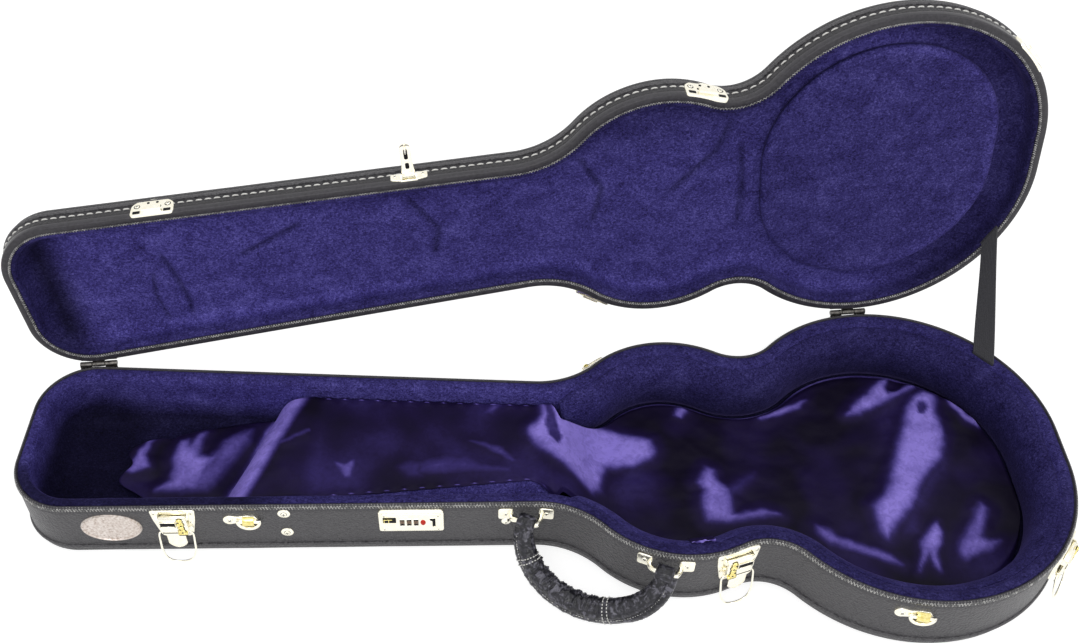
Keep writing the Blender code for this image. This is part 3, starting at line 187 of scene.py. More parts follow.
def closed_loop(rear):
    """Loop of plan points: rear side to the tail, across it, front side back, across the head."""
    shares = np.linspace(0, 1, CROSS_STEPS + 1)[1:-1, None]
    tail = rear[-1] * (1 - shares) + rear[-1] * FLIP * shares
    head = rear[0] * FLIP * (1 - shares) + rear[0] * shares
    return np.concatenate([rear, tail, rear[::-1] * FLIP, head])


def loop_at(inset):
    """Loop at one inset, or at one for each point of the rear side."""
    return closed_loop(REAR_POINTS - REAR_NORMALS * np.reshape(inset, (-1, 1)))


def raised(plan, z):
    return np.column_stack([plan, np.broadcast_to(z, len(plan))])


NORMALS = loop_normals()
LOOP = loop_at(0.0)
RUN = np.concatenate([[0.0], np.cumsum(np.linalg.norm(np.roll(LOOP, -1, 0) - LOOP, axis=1))])


def outline_at(length):
    """Point and outward normal at a length along the loop, for one length or many."""
    length = np.mod(length, RUN[-1])
    around = np.vstack([LOOP, LOOP[:1]])
    facing = np.vstack([NORMALS, NORMALS[:1]])
    point = np.column_stack([np.interp(length, RUN, around[:, axis]) for axis in (0, 1)])
    normal = np.column_stack([np.interp(length, RUN, facing[:, axis]) for axis in (0, 1)])
    return point, normal / np.linalg.norm(normal, axis=1)[:, None]


def rear_length_at(x):
    return np.interp(x, REAR_POINTS[:, 0], RUN[:COLUMNS])


def front_length_at(x):
    return RUN[COLUMNS + CROSS_STEPS - 1] + RUN[COLUMNS - 1] - rear_length_at(x)


def front_length_at_share(share):
    """Length along the loop, on its front side, at a share of the case length."""
    return front_length_at((share - 0.5) * CASE_LENGTH)


# Meshes
def piece_from(name, points, faces, finish, smooth=True, tidy=True):
    mesh = bpy.data.meshes.new(name)
    mesh.from_pydata(np.asarray(points, float).tolist(), [], faces)
    if tidy:
        work = bmesh.new()
        work.from_mesh(mesh)
        bmesh.ops.recalc_face_normals(work, faces=work.faces)
        work.to_mesh(mesh)
        work.free()
    if smooth:
        mesh.shade_smooth()
    mesh.materials.append(finish)
    item = bpy.data.objects.new(name, mesh)
    bpy.context.scene.collection.objects.link(item)
    return item


def band_faces(rows, count, first=0, looped=False):
    """Quads between neighbouring closed rows of equal count."""
    faces = []
    for row in range(rows if looped else rows - 1):
        here = first + row * count
        there = first + (row + 1) % rows * count
        for column in range(count):
            after = (column + 1) % count
            faces.append((here + column, here + after, there + after, there + column))
    return faces


def capped_faces(rows, count, first=0):
    """Faces of a solid made of rows of points: the band round it and a flat face at each end."""
    last = first + (rows - 1) * count
    ends = [tuple(range(first, first + count))[::-1], tuple(range(last, last + count))]
    return band_faces(rows, count, first) + ends


def sheet_faces(rows, count):
    """Faces of a thin closed sheet: a grid of points, the same grid again below it, and the edge."""
    faces = [(i * count + j, i * count + j + 1, (i + 1) * count + j + 1, (i + 1) * count + j)
             for i in range(rows - 1) for j in range(count - 1)]
    first = rows * count
    faces += [tuple(first + index for index in reversed(face)) for face in list(faces)]
    rim = [i * count for i in range(rows)] + [(rows - 1) * count + j for j in range(1, count)]
    rim += [i * count + count - 1 for i in reversed(range(rows - 1))]
    rim += list(reversed(range(1, count - 1)))
    for here, there in zip(rim, rim[1:] + rim[:1]):
        faces.append((here, there, first + there, first + here))
    return faces


def tray(name, rear, heights, rings, finish):
    """Grid over the outline, then rings from its edge outwards, closed by one flat face."""
    across = np.linspace(1, -1, CROSS_STEPS + 1)
    grid = np.zeros((len(rear), CROSS_STEPS + 1, 3))
    grid[:, :, 0] = rear[:, 0, None]
    grid[:, :, 1] = rear[:, 1, None] * across
    grid[:, :, 2] = heights(grid[:, :, 0], grid[:, :, 1])
    count = len(rear)
    width = CROSS_STEPS + 1
    edge = [i * width for i in range(count)]
    edge += [(count - 1) * width + j for j in range(1, CROSS_STEPS)]
    edge += [i * width + CROSS_STEPS for i in reversed(range(count))]
    edge += [j for j in reversed(range(1, CROSS_STEPS))]
    faces = [(i * width + j, i * width + j + 1, (i + 1) * width + j + 1, (i + 1) * width + j)
             for i in range(count - 1) for j in range(CROSS_STEPS)]
    first = count * width
    size = len(edge)
    for column in range(size):
        after = (column + 1) % size
        faces.append((edge[column], edge[after], first + after, first + column))
    faces += band_faces(len(rings), size, first)
    last = first + (len(rings) - 1) * size
    faces.append(tuple(range(last, last + size)))
    points = np.concatenate([grid.reshape(-1, 3)] + rings)
    return piece_from(name, points, faces, finish)


def swept(name, profile, finish):
    """Closed band: a loop of (inset, z) points carried round the outline."""
    rings = [raised(loop_at(inset), z) for inset, z in profile]
    faces = band_faces(len(rings), len(rings[0]), looped=True)
    return piece_from(name, np.concatenate(rings), faces, finish)


def tubes(name, paths, radii, sides, finish):
    """Many round threads or wires at once: paths is (pieces, points, 3), radii follows the points."""
    paths = np.asarray(paths, float)
    pieces, steps = paths.shape[:2]
    heading = np.gradient(paths, axis=1)
    heading /= np.linalg.norm(heading, axis=2)[:, :, None] + 1e-12
    guide = np.tile(np.array((0.31, 0.17, 0.93)), (pieces, steps, 1))
    across = np.cross(heading, guide)
    across /= np.linalg.norm(across, axis=2)[:, :, None] + 1e-12
    side = np.cross(heading, across)
    turns = np.linspace(0, 2 * math.pi, sides + 1)[:-1]
    radii = np.broadcast_to(np.asarray(radii, float), (pieces, steps))
    ring = across[:, :, None, :] * np.cos(turns)[:, None] + side[:, :, None, :] * np.sin(turns)[:, None]
    points = paths[:, :, None, :] + ring * radii[:, :, None, None]
    faces = []
    for piece in range(pieces):
        faces += capped_faces(steps, sides, piece * steps * sides)
    return piece_from(name, points.reshape(-1, 3), faces, finish, tidy=pieces < 40)


def wander(points, size, seed):
    """Smooth random value between about -1 and 1 at each point, with bumps of the given size."""
    scaled = np.asarray(points, float) / size + seed
    return np.array([noise.noise(row) for row in scaled.tolist()])


def smooth_step(value, low, high):
    share = np.clip((value - low) / (high - low), 0, 1)
    return share * share * (3 - 2 * share)


def distance_to(points, line):
    """Distance of plan points to a polyline, and the share along it."""
    best = np.full(len(points), np.inf)
    share = np.zeros(len(points))
    lengths = [math.dist(a, b) for a, b in zip(line, line[1:])]
    total = sum(lengths)
    done = 0.0
    for (start, end), length in zip(zip(line, line[1:]), lengths):
        start = np.array(start)
        heading = (np.array(end) - start) / length
        offset = points - start
        along = np.clip(offset @ heading, 0, length)
        nearest = offset - along[:, None] * heading
        gap = np.linalg.norm(nearest, axis=1)
        closer = gap < best
        best = np.where(closer, gap, best)
        share = np.where(closer, (done + along) / total, share)
        done += length
    return best, share


# Materials
def object_source(tree, stretch=(1, 1, 1)):
    mapping = tree.nodes.new("ShaderNodeMapping")
    mapping.inputs["Scale"].default_value = stretch
    tree.links.new(tree.nodes.new("ShaderNodeTexCoord").outputs["Object"], mapping.inputs["Vector"])
    return mapping.outputs["Vector"]


def noise_texture(tree, source, size, detail=3.0, distortion=0.0):
    made = tree.nodes.new("ShaderNodeTexNoise")
    made.inputs["Scale"].default_value = 1 / size
    made.inputs["Detail"].default_value = detail
    made.inputs["Distortion"].default_value = distortion
    tree.links.new(source, made.inputs["Vector"])
    return made.outputs["Fac"]


def cell_texture(tree, source, size):
    made = tree.nodes.new("ShaderNodeTexVoronoi")
    made.feature = "SMOOTH_F1"
    made.inputs["Scale"].default_value = 1 / size
    made.inputs["Smoothness"].default_value = 0.4
    tree.links.new(source, made.inputs["Vector"])
    return made.outputs["Distance"]


def ramp(tree, value, stops):
    made = tree.nodes.new("ShaderNodeValToRGB")
    stripe = made.color_ramp
    while len(stripe.elements) < len(stops):
        stripe.elements.new(0.5)
    for element, (position, colour) in zip(stripe.elements, stops):
        element.position = position
        element.color = (*colour, 1.0)
    tree.links.new(value, made.inputs["Fac"])
    return made.outputs["Color"]


TEXTURES = {"noise": noise_texture, "cell": cell_texture}


def finish_of(name, stops, roughness, mottle=0.02, detail=4.0, distortion=0.0, bumps=(),
              metallic=0.0, rough_range=0.08, **sockets):
    """Principled material whose colour and roughness wander, with a chain of bump textures."""
    made = bpy.data.materials.new(name)
    made.use_nodes = True
    tree = made.node_tree
    shader = tree.nodes["Principled BSDF"]
    source = object_source(tree)
    value = noise_texture(tree, source, mottle, detail, distortion)
    tree.links.new(ramp(tree, value, stops), shader.inputs["Base Color"])
    spread = ((0.3, (roughness - rough_range,) * 3), (0.7, (roughness + rough_range,) * 3))
    tree.links.new(ramp(tree, value, spread), shader.inputs["Roughness"])
    shader.inputs["Metallic"].default_value = metallic
    for socket, setting in sockets.items():
        shader.inputs[socket.replace("_", " ")].default_value = setting
    normal = None
    for kind, size, distance in bumps:
        bump = tree.nodes.new("ShaderNodeBump")
        bump.inputs["Distance"].default_value = distance
        bump.inputs["Strength"].default_value = 1.0
        tree.links.new(TEXTURES[kind](tree, source, size), bump.inputs["Height"])
        if normal is not None:
            tree.links.new(normal, bump.inputs["Normal"])
        normal = bump.outputs["Normal"]
    if normal is not None:
        tree.links.new(normal, shader.inputs["Normal"])
    return made


def mixed(tree, kind, first, second, amount=1.0):
    """Blend of two colours or values in the given mode."""
    node = tree.nodes.new("ShaderNodeMix")
    node.data_type = "RGBA"
    node.blend_type = kind
    node.inputs["Factor"].default_value = amount
    tree.links.new(first, node.inputs[6])
    tree.links.new(second, node.inputs[7])
    return node.outputs[2]


def attribute_value(tree, name):
    node = tree.nodes.new("ShaderNodeAttribute")
    node.attribute_name = name
    return node.outputs["Fac"]


VINYL = finish_of("vinyl", ((0.34, (0.054, 0.052, 0.057)), (0.66, (0.098, 0.095, 0.103))), 0.42,
                  mottle=0.0018, detail=2.0, bumps=(("cell", 0.0025, 0.00110), ("noise", 0.0010, 0.00025)),
                  Specular_IOR_Level=0.5)
# The lid's vinyl is the base's vinyl painted darker: painted shade on the lid's outside
LID_VINYL_PAINTED_SHADE = finish_of("lid_vinyl_painted_shade", ((0.34, (0.022, 0.021, 0.024)), (0.66, (0.044, 0.042, 0.047))), 0.44,
                      mottle=0.0018, detail=2.0, Specular_IOR_Level=0.42,
                      bumps=(("cell", 0.0025, 0.00100), ("noise", 0.0010, 0.00025)))
BINDING = finish_of("binding_vinyl", ((0.30, (0.026, 0.024, 0.029)), (0.70, (0.056, 0.053, 0.062))), 0.40,
                    mottle=0.003, bumps=(("cell", 0.0013, 0.00014),), Specular_IOR_Level=0.40)
GREY_THREAD = finish_of("grey_thread", ((0.42, (0.24, 0.24, 0.24)), (0.58, (0.74, 0.73, 0.71))), 0.6,
                        mottle=0.0045, detail=2.0, bumps=(("noise", 0.0003, 0.00005),))
WHITE_THREAD = finish_of("white_thread", ((0.3, (0.72, 0.71, 0.68)), (0.7, (0.90, 0.89, 0.86))), 0.6,
                         mottle=0.001, bumps=(("noise", 0.0003, 0.00005),))
GOLD = finish_of("gold", ((0.3, (0.97, 0.92, 0.75)), (0.7, (1.00, 0.98, 0.88))), 0.22,
                 mottle=0.004, metallic=1.0, rough_range=0.06, bumps=(("noise", 0.0022, 0.00003),))
DEEP_GOLD = finish_of("deep_gold", ((0.3, (0.80, 0.66, 0.20)), (0.7, (0.96, 0.86, 0.40))), 0.22,
                      mottle=0.003, metallic=1.0, rough_range=0.06, bumps=(("noise", 0.0016, 0.00003),))
# Near-black leather with light grey streaks: painted glints
LEATHER_TONES_WITH_PAINTED_GLINTS = ((0.40, (0.007, 0.007, 0.011)), (0.54, (0.028, 0.027, 0.037)), (0.66, (0.150, 0.146, 0.180)))
LEATHER = finish_of("leather", LEATHER_TONES_WITH_PAINTED_GLINTS, 0.34, mottle=0.0075, detail=2.5, distortion=1.4,
                    bumps=(("cell", 0.0034, 0.00045), ("noise", 0.0090, 0.0012)), Specular_IOR_Level=0.42)
# Dark copy of the hardware metal: painted shade on the hinges
HINGE_METAL_PAINTED_SHADE = finish_of("hinge_metal_painted_shade", ((0.3, (0.045, 0.042, 0.040)), (0.7, (0.190, 0.180, 0.165))), 0.36,
                        mottle=0.0030, metallic=0.9, bumps=(("noise", 0.0020, 0.00005),))
WEBBING = finish_of("webbing", ((0.3, (0.030, 0.030, 0.033)), (0.7, (0.066, 0.066, 0.072))), 0.75,
                    mottle=0.0012, bumps=(("noise", 0.0006, 0.00020),))
DIAL = finish_of("dial_tan", ((0.3, (0.27, 0.17, 0.11)), (0.7, (0.42, 0.30, 0.21))), 0.45, mottle=0.003,
                 bumps=(("noise", 0.001, 0.00002),))
# Black: the slider's own black, and the dark slabs, rings and spots that paint shade in slots, cuts and recesses
# and dark reflections on the metal
BLACK_PART_AND_PAINTED_SHADE = finish_of("black_part_and_painted_shade", ((0.3, (0.006, 0.006, 0.007)), (0.7, (0.014, 0.013, 0.014))), 0.60,
                  mottle=0.003, bumps=(("noise", 0.0008, 0.00003),), Specular_IOR_Level=0.15)
RED = finish_of("red_part", ((0.3, (0.66, 0.030, 0.018)), (0.7, (0.80, 0.055, 0.03))), 0.45, mottle=0.002,
                bumps=(("noise", 0.001, 0.00002),), Specular_IOR_Level=0.2)
BADGE = finish_of("badge_metal", ((0.34, (0.58, 0.48, 0.42)), (0.66, (0.90, 0.83, 0.78))), 0.34,
                  mottle=0.0026, metallic=0.55, bumps=(("noise", 0.0026, 0.00045),))


# Colour that the two cloths start from; their own colour, with painted shade on the plush and painted highlights
# on the satin, takes its place
PLAIN_TONES = ((0.3, (0.5, 0.5, 0.5)), (0.7, (0.6, 0.6, 0.6)))


def plush_finish():
    """Crushed velvet: fine fibres over broad brushed patches, with painted shade and painted light from the shade
    attribute.
    """
    made = finish_of("plush", PLAIN_TONES, 0.86, mottle=0.004, detail=5.0,
                     bumps=(("noise", 0.010, 0.0007), ("noise", 0.0018, 0.00045)), Specular_IOR_Level=0.10,
                     Sheen_Weight=0.14, Sheen_Roughness=0.4, Sheen_Tint=(0.40, 0.32, 1.0, 1.0))
    tree = made.node_tree
    source = object_source(tree, (1.0, 1.2, 1.2))
    fibres = noise_texture(tree, source, 0.0023, 6.0, 0.9)
    patches = noise_texture(tree, source, 0.034, 5.0, 1.0)
    both = mixed(tree, "MIX", fibres, patches, 0.30)
    colour = ramp(tree, both, PLUSH_TONES)
    crush = noise_texture(tree, source, 0.013, 4.0, 2.6)
    colour = mixed(tree, "MULTIPLY", colour, ramp(tree, crush, CRUSH_LINES))
    shaded = mixed(tree, "MULTIPLY", colour, attribute_value(tree, "shade"))
    tree.links.new(shaded, tree.nodes["Principled BSDF"].inputs["Base Color"])
    return made


CRUSH_LINES = ((0.455, (1.0, 1.0, 1.0)), (0.495, (0.60, 0.60, 0.64)), (0.520, (1.25, 1.25, 1.25)),
               (0.570, (1.0, 1.0, 1.0)))
PLUSH_TONES = ((0.34, (0.018, 0.013, 0.072)), (0.47, (0.046, 0.037, 0.185)), (0.57, (0.082, 0.070, 0.295)),
               (0.70, (0.165, 0.145, 0.480)))
PLUSH = plush_finish()


def satin_finish():
    """Satin with painted highlights: dark where it lies flat, light violet painted along the folds."""
    made = finish_of("satin", PLAIN_TONES, 0.52, mottle=0.02, rough_range=0.05,
                     bumps=(("noise", 0.0032, 0.00012),), Specular_IOR_Level=0.10)
    tree = made.node_tree
    source = object_source(tree)
    streaks = noise_texture(tree, source, 0.006, 5.0, 0.8)
    grey = ramp(tree, streaks, ((0.30, (0.84, 0.84, 0.84)), (0.70, (1.10, 1.10, 1.10))))
    painted_highlight = mixed(tree, "MULTIPLY", attribute_value(tree, "painted_highlight"), grey)
    # The painted highlight picks the satin's colour
    colour = ramp(tree, painted_highlight, SATIN_PAINTED_HIGHLIGHT_TONES)
    tree.links.new(colour, tree.nodes["Principled BSDF"].inputs["Base Color"])
    return made


# Satin colours: its own dark violet at 0, rising to the painted highlight's light violet at 1
SATIN_PAINTED_HIGHLIGHT_TONES = ((0.0, (0.006, 0.004, 0.014)), (0.10, (0.014, 0.008, 0.046)), (0.30, (0.044, 0.030, 0.160)),
               (0.62, (0.150, 0.112, 0.440)), (1.0, (0.330, 0.255, 0.800)))
SATIN = satin_finish()


# Placing pieces on their bodies
def dress(item, body, slot, *stands_for):
    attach(item, body)
    if stands_for:
        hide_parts(*stands_for)
    return item


def opened(item):
    """Turns a mesh made in the closed lid's place to where the open lid holds it."""
    item.data.transform(OPENING)
    return item


def values_on(item, name, values):
    attribute = item.data.attributes.new(name, "FLOAT", "POINT")
    attribute.data.foreach_set("value", np.asarray(values, np.float32))
    return item


def points_of(item):
    flat = np.empty(len(item.data.vertices) * 3)
    item.data.vertices.foreach_get("co", flat)
    return flat.reshape(-1, 3)


# Vinyl shells
def quarter(centre_inset, centre_z, radius, start, end, steps=8):
    turns = np.linspace(start, end, steps + 1)
    return [(centre_inset + radius * math.cos(turn), centre_z + radius * math.sin(turn)) for turn in turns]


def shell_profile(depth):
    """Outer wall section from the panel edge up to the rim, then down the inside."""
    section = quarter(EDGE_RADIUS, EDGE_RADIUS, EDGE_RADIUS, 1.5 * math.pi, math.pi)
    wall_top = depth - BINDING_HEIGHT
    section += [(0.0, z) for z in np.linspace(EDGE_RADIUS, wall_top, 12)[1:]]
    tuck = BINDING_THICKNESS + GAP
    section += [(tuck * 0.4, wall_top + tuck * 0.3), (tuck, wall_top + tuck), (tuck, depth - tuck),
                (WALL, depth - tuck), (WALL, depth / 2), (WALL, PANEL)]
    return section


def shell(name, depth, low, flip, crown, finish=VINYL):
    """Base or lid shell with its panel, slightly crowned and hand-covered, so not dead flat."""
    rear = REAR_POINTS - REAR_NORMALS * (EDGE_RADIUS + 0.004)

    def from_panel(z):
        return low + depth - z if flip else low + z

    def panel_height(x, y):
        half = np.interp(x, rear[:, 0], rear[:, 1])
        swell = crown * (1 - (y / half) ** 4) * smooth_step(CASE_LENGTH / 2 - np.abs(x), 0, 0.05)
        return from_panel(-swell)

    rings = []
    for inset, z in [(EDGE_RADIUS + 0.002, 0.0)] + shell_profile(depth):
        ring = raised(loop_at(inset), from_panel(z))
        if inset < WALL / 2:
            ring[:, :2] += NORMALS * wander(ring, 0.045, 3.1)[:, None] * 0.00018
        rings.append(ring)
    return tray(name, rear, panel_height, rings, finish)


def rolled_binding(name, depth, low, flip, width):
    """Binding folded over the rim, with a soft rolled top edge and a tucked lower edge."""
    height = BINDING_HEIGHT
    roll = 0.0020
    profile = [(0.0003, depth - height + GAP), (-0.0004, depth - height + 0.0010),
               (-0.0005, depth - height / 2), (-0.0003, depth - roll)]
    profile += [(roll - (roll + 0.0003) * math.cos(turn), depth - roll + roll * math.sin(turn))
                for turn in np.linspace(0.2, math.pi / 2, 6)]
    profile += [(width - 0.0012, depth - 0.0001), (width - 0.0003, depth - 0.0008),
                (width, depth - 0.0026), (BINDING_THICKNESS, depth - 0.0026),
                (BINDING_THICKNESS, depth - height + GAP)]
    if flip:
        profile = [(inset, depth - z) for inset, z in profile]
    return swept(name, [(inset, z + low) for inset, z in profile], BINDING)


BASE_BINDING_WIDTH = 0.0032
LID_BINDING_WIDTH = 0.0094
WELT_RADIUS = 0.0022
WELT_TUCK = 0.0006
BASE_WELT_Z = 0.0135
LID_WELT_Z = LID_RIM + 0.0225


def welt(name, height):
    section = [(-GAP - WELT_RADIUS * math.sin(turn) * 0.8, height + WELT_RADIUS * math.cos(turn))
               for turn in np.linspace(0, math.pi, 9)]
    section += [(WELT_TUCK, height - WELT_RADIUS), (WELT_TUCK, height + WELT_RADIUS)]
    return swept(name, section, VINYL)


def build_shells():
    base = shell("base_vinyl_shell", BASE_DEPTH, low=0.0, flip=False, crown=0.0)
    dress(base, "base", "tolex", "base_side_wall", "base_bottom_panel")
    roll = rolled_binding("base_rim_binding_roll", BASE_DEPTH, 0.0, False, BASE_BINDING_WIDTH)
    dress(roll, "base", "binding", "base_rim_binding")
    dress(welt("base_seam_welt", BASE_WELT_Z), "base", "binding", "base_lower_welt")
    lid = opened(shell("lid_vinyl_shell", LID_DEPTH, low=LID_RIM, flip=True, crown=0.0012, finish=LID_VINYL_PAINTED_SHADE))
    dress(lid, "lid", "tolex", "lid_side_wall", "lid_top_panel")
    roll = opened(rolled_binding("lid_rim_binding_roll", LID_DEPTH, LID_RIM, True, LID_BINDING_WIDTH))
    dress(roll, "lid", "binding", "lid_rim_binding")
    dress(opened(welt("lid_seam_welt", LID_WELT_Z)), "lid", "binding", "lid_upper_welt")


# Stitching
def overcast(name, low, high, pitch, radius):
    """Zigzag thread over a rolled rim; low and high are (out, z) of its two rows of turns."""
    count = int(RUN[-1] / pitch)
    start = np.arange(count) * RUN[-1] / count
    step = RUN[-1] / count
    legs = []
    for first, second, bottom, top in ((0.0, 0.5, low, high), (0.5, 1.0, high, low)):
        shares = np.linspace(0, 1, 5)
        lengths = start[:, None] + step * (first + (second - first) * shares)
        point, normal = outline_at(lengths.ravel())
        bulge = bottom[0] + (top[0] - bottom[0]) * shares + 0.0007 * np.sin(shares * math.pi)
        plan = point + normal * np.tile(bulge, count)[:, None]
        z = np.tile(bottom[1] + (top[1] - bottom[1]) * shares, count)
        legs.append(raised(plan, z).reshape(count, 5, 3))
    return tubes(name, np.concatenate(legs), radius * np.array((0.7, 1, 1, 1, 0.7)), 5, GREY_THREAD)


def dashes(name, z, dash, gap, radius):
    """Row of long white stitches round the lid's wall."""
    count = int(RUN[-1] / (dash + gap))
    start = np.arange(count) * RUN[-1] / count
    shares = np.linspace(0, 1, 6)
    point, normal = outline_at((start[:, None] + dash * shares).ravel())
    bulge = np.tile(-0.0003 + 0.0009 * np.sin(shares * math.pi) ** 0.5, len(start))
    path = raised(point + normal * bulge[:, None], z).reshape(len(start), 6, 3)
    return opened(tubes(name, path, radius * np.array((0.6, 1, 1.05, 1.05, 1, 0.6)), 6, WHITE_THREAD))


def build_stitches():
    low, high = (0.0007, BASE_DEPTH - 0.0056), (-0.0010, BASE_DEPTH - 0.0003)
    dress(overcast("base_rim_stitches", low, high, pitch=0.0031, radius=0.00046), "base", "binding")
    low, high = (-0.0068, LID_RIM - 0.0001), (-0.0094, LID_RIM + 0.0004)
    dress(opened(overcast("lid_rim_stitches", low, high, pitch=0.0028, radius=0.00032)), "lid", "binding")
    seam = dashes("lid_wall_stitches", LID_RIM + 0.0150, dash=0.0066, gap=0.0026, radius=0.00085)
    dress(seam, "lid", "binding")


# Plush linings
def creased(x, y, creases):
    """Height change of worn creases, a narrow valley with soft shoulders, and the painted shade along their
    valleys.
    """
    flat = np.column_stack([x.ravel(), y.ravel()])
    total = np.zeros(len(flat))
    dark = np.zeros(len(flat))
    for line, depth, width in creases:
        gap, share = distance_to(flat, line)
        ends = smooth_step(share, 0.0, 0.15) * smooth_step(1 - share, 0.0, 0.15)
        ends = np.where((share <= 0) | (share >= 1), 0.0, ends)
        valley = -np.exp(-(gap / (width * 0.22)) ** 2)
        shoulder = 0.60 * np.exp(-((gap - width * 0.55) / (width * 0.35)) ** 2)
        total += (valley + shoulder) * depth * ends
        dark = np.maximum(dark, np.exp(-(gap / (width * 0.26)) ** 2) * ends)
    return total.reshape(x.shape), dark.reshape(x.shape)


def rumpled(x, y, seed):
    flat = np.column_stack([x.ravel(), y.ravel(), np.zeros(x.size)])
    rumple = wander(flat, 0.055, seed) * 0.0009 + wander(flat, 0.018, seed + 5) * 0.0004
    return rumple.reshape(x.shape)


LID_CREASES = (
    (((-0.386, -0.028), (-0.378, 0.004), (-0.371, 0.047), (-0.375, 0.074)), 0.0030, 0.013),
    (((-0.398, -0.004), (-0.404, 0.036), (-0.398, 0.074)), 0.0016, 0.010),
    (((-0.226, -0.036), (-0.268, -0.018), (-0.309, -0.001)), 0.0022, 0.014),
    (((0.224, -0.088), (0.205, -0.045), (0.150, 0.004)), 0.0028, 0.016),
    (((0.231, -0.060), (0.233, 0.000), (0.229, 0.064)), 0.0022, 0.013),
    (((0.060, -0.070), (0.085, -0.020), (0.070, 0.030)), 0.0012, 0.014),
    (((-0.120, -0.050), (-0.090, 0.000), (-0.100, 0.040)), 0.0012, 0.014),
)


def corner_at(x, plain, head):
    return plain + (head - plain) * smooth_step(-np.asarray(x), 0.40, 0.51)


def lining_rings(face_z, rim_z, seed, corner, width):
    """Rings from the panel lining up the wall and over the top, to under the binding."""
    toward = 1 if rim_z > face_z else -1
    near = WALL + GAP
    far = near + LINING
    steps = []
    for outwards, upwards in ((0.95, 0.06), (0.55, 0.22), (0.22, 0.55), (0.05, 1.0)):
        steps.append((far + corner * outwards, face_z + toward * corner * upwards))
    start = steps[-1][1]
    high = rim_z - toward * 0.0060
    for share in (0.25, 0.5, 0.75, 1.0):
        steps.append((far, start + (high - start) * share))
    for share, drop in ((0.93, 0.0038), (0.80, 0.0020), (0.62, 0.0011), (0.40, 0.0008), (0.16, 0.0009),
                        (0.0, 0.0018)):
        steps.append((width - 0.0002 + (far - width) * share, rim_z - toward * drop))
    steps += [(width - 0.0006, rim_z - toward * 0.0030), (near, rim_z - toward * 0.0030),
              (near, face_z - toward * 0.004)]
    rings = []
    count = len(steps)
    for index, (inset, z) in enumerate(steps):
        ring = raised(loop_at(inset), closed_values(z))
        soft = 1.0 if index < count - 5 else 0.0
        swell = (wander(ring, 0.05, seed) * 0.0009 + wander(ring, 0.014, seed + 3) * 0.0004) * soft
        ring[:, :2] -= NORMALS * swell[:, None]
        rings.append(ring)
    return rings


def closed_values(z):
    """One value for each point of a loop, from one value or one for each point of the rear side."""
    if np.ndim(z) == 0:
        return z
    flats = CROSS_STEPS - 1
    return np.concatenate([z, np.full(flats, z[-1]), z[::-1], np.full(flats, z[0])])


def build_lid_lining():
    corner = corner_at(REAR_POINTS[:, 0], 0.007, 0.019)
    rear = REAR_POINTS - REAR_NORMALS * (WALL + GAP + LINING + corner * 1.4)[:, None]

    def face(x, y):
        return LID_FACE - rumpled(x, y, 11.0) - creased(x, y, LID_CREASES)[0]

    rings = lining_rings(LID_FACE, LID_RIM, 7.0, corner, LID_BINDING_WIDTH)
    item = tray("lid_plush_lining", rear, face, rings, PLUSH)
    x, y, z = points_of(item).T
    # Painted shade and light: shade in the creases, lighter towards the head, painted shadow along the head wall
    # and its corner, on the walls, round the pad and along the front side
    dark = creased(x, y, LID_CREASES)[1] * smooth_step(z, LID_FACE - 0.006, LID_FACE - 0.003)
    shade = (1.24 - 0.20 * smooth_step(x, -0.38, 0.05)) * (1 - 0.50 * dark)
    wall = smooth_step(LID_FACE - z, 0.004, 0.020)
    shade *= 1 - 0.88 * np.exp(-((x + 0.505) / 0.020) ** 2) * (1 - 0.45 * wall)
    shade *= 1 - 0.30 * smooth_step(-x, 0.500, 0.520)
    shade *= 1 - 0.40 * wall
    centre = (CASE_LENGTH / 2 - LOWER_BOUT_RADIUS, 0)
    away = np.hypot(x - centre[0], y * LOWER_BOUT_RADIUS / (LOWER_BOUT_RADIUS + TAIL_FLAT / 2) - centre[1])
    shade *= 1 - 0.50 * smooth_step(away, 0.105, 0.140) * smooth_step(x, 0.36, 0.46)
    shade *= 1 - 0.35 * smooth_step(-y, 0.04, 0.11) * smooth_step(0.30 - np.abs(x - 0.05), 0, 0.1)
    values_on(item, "shade", np.clip(shade, 0.12, 1.2))
    dress(opened(item), "lid", "plush", "lid_wall_lining", "lid_panel_lining")


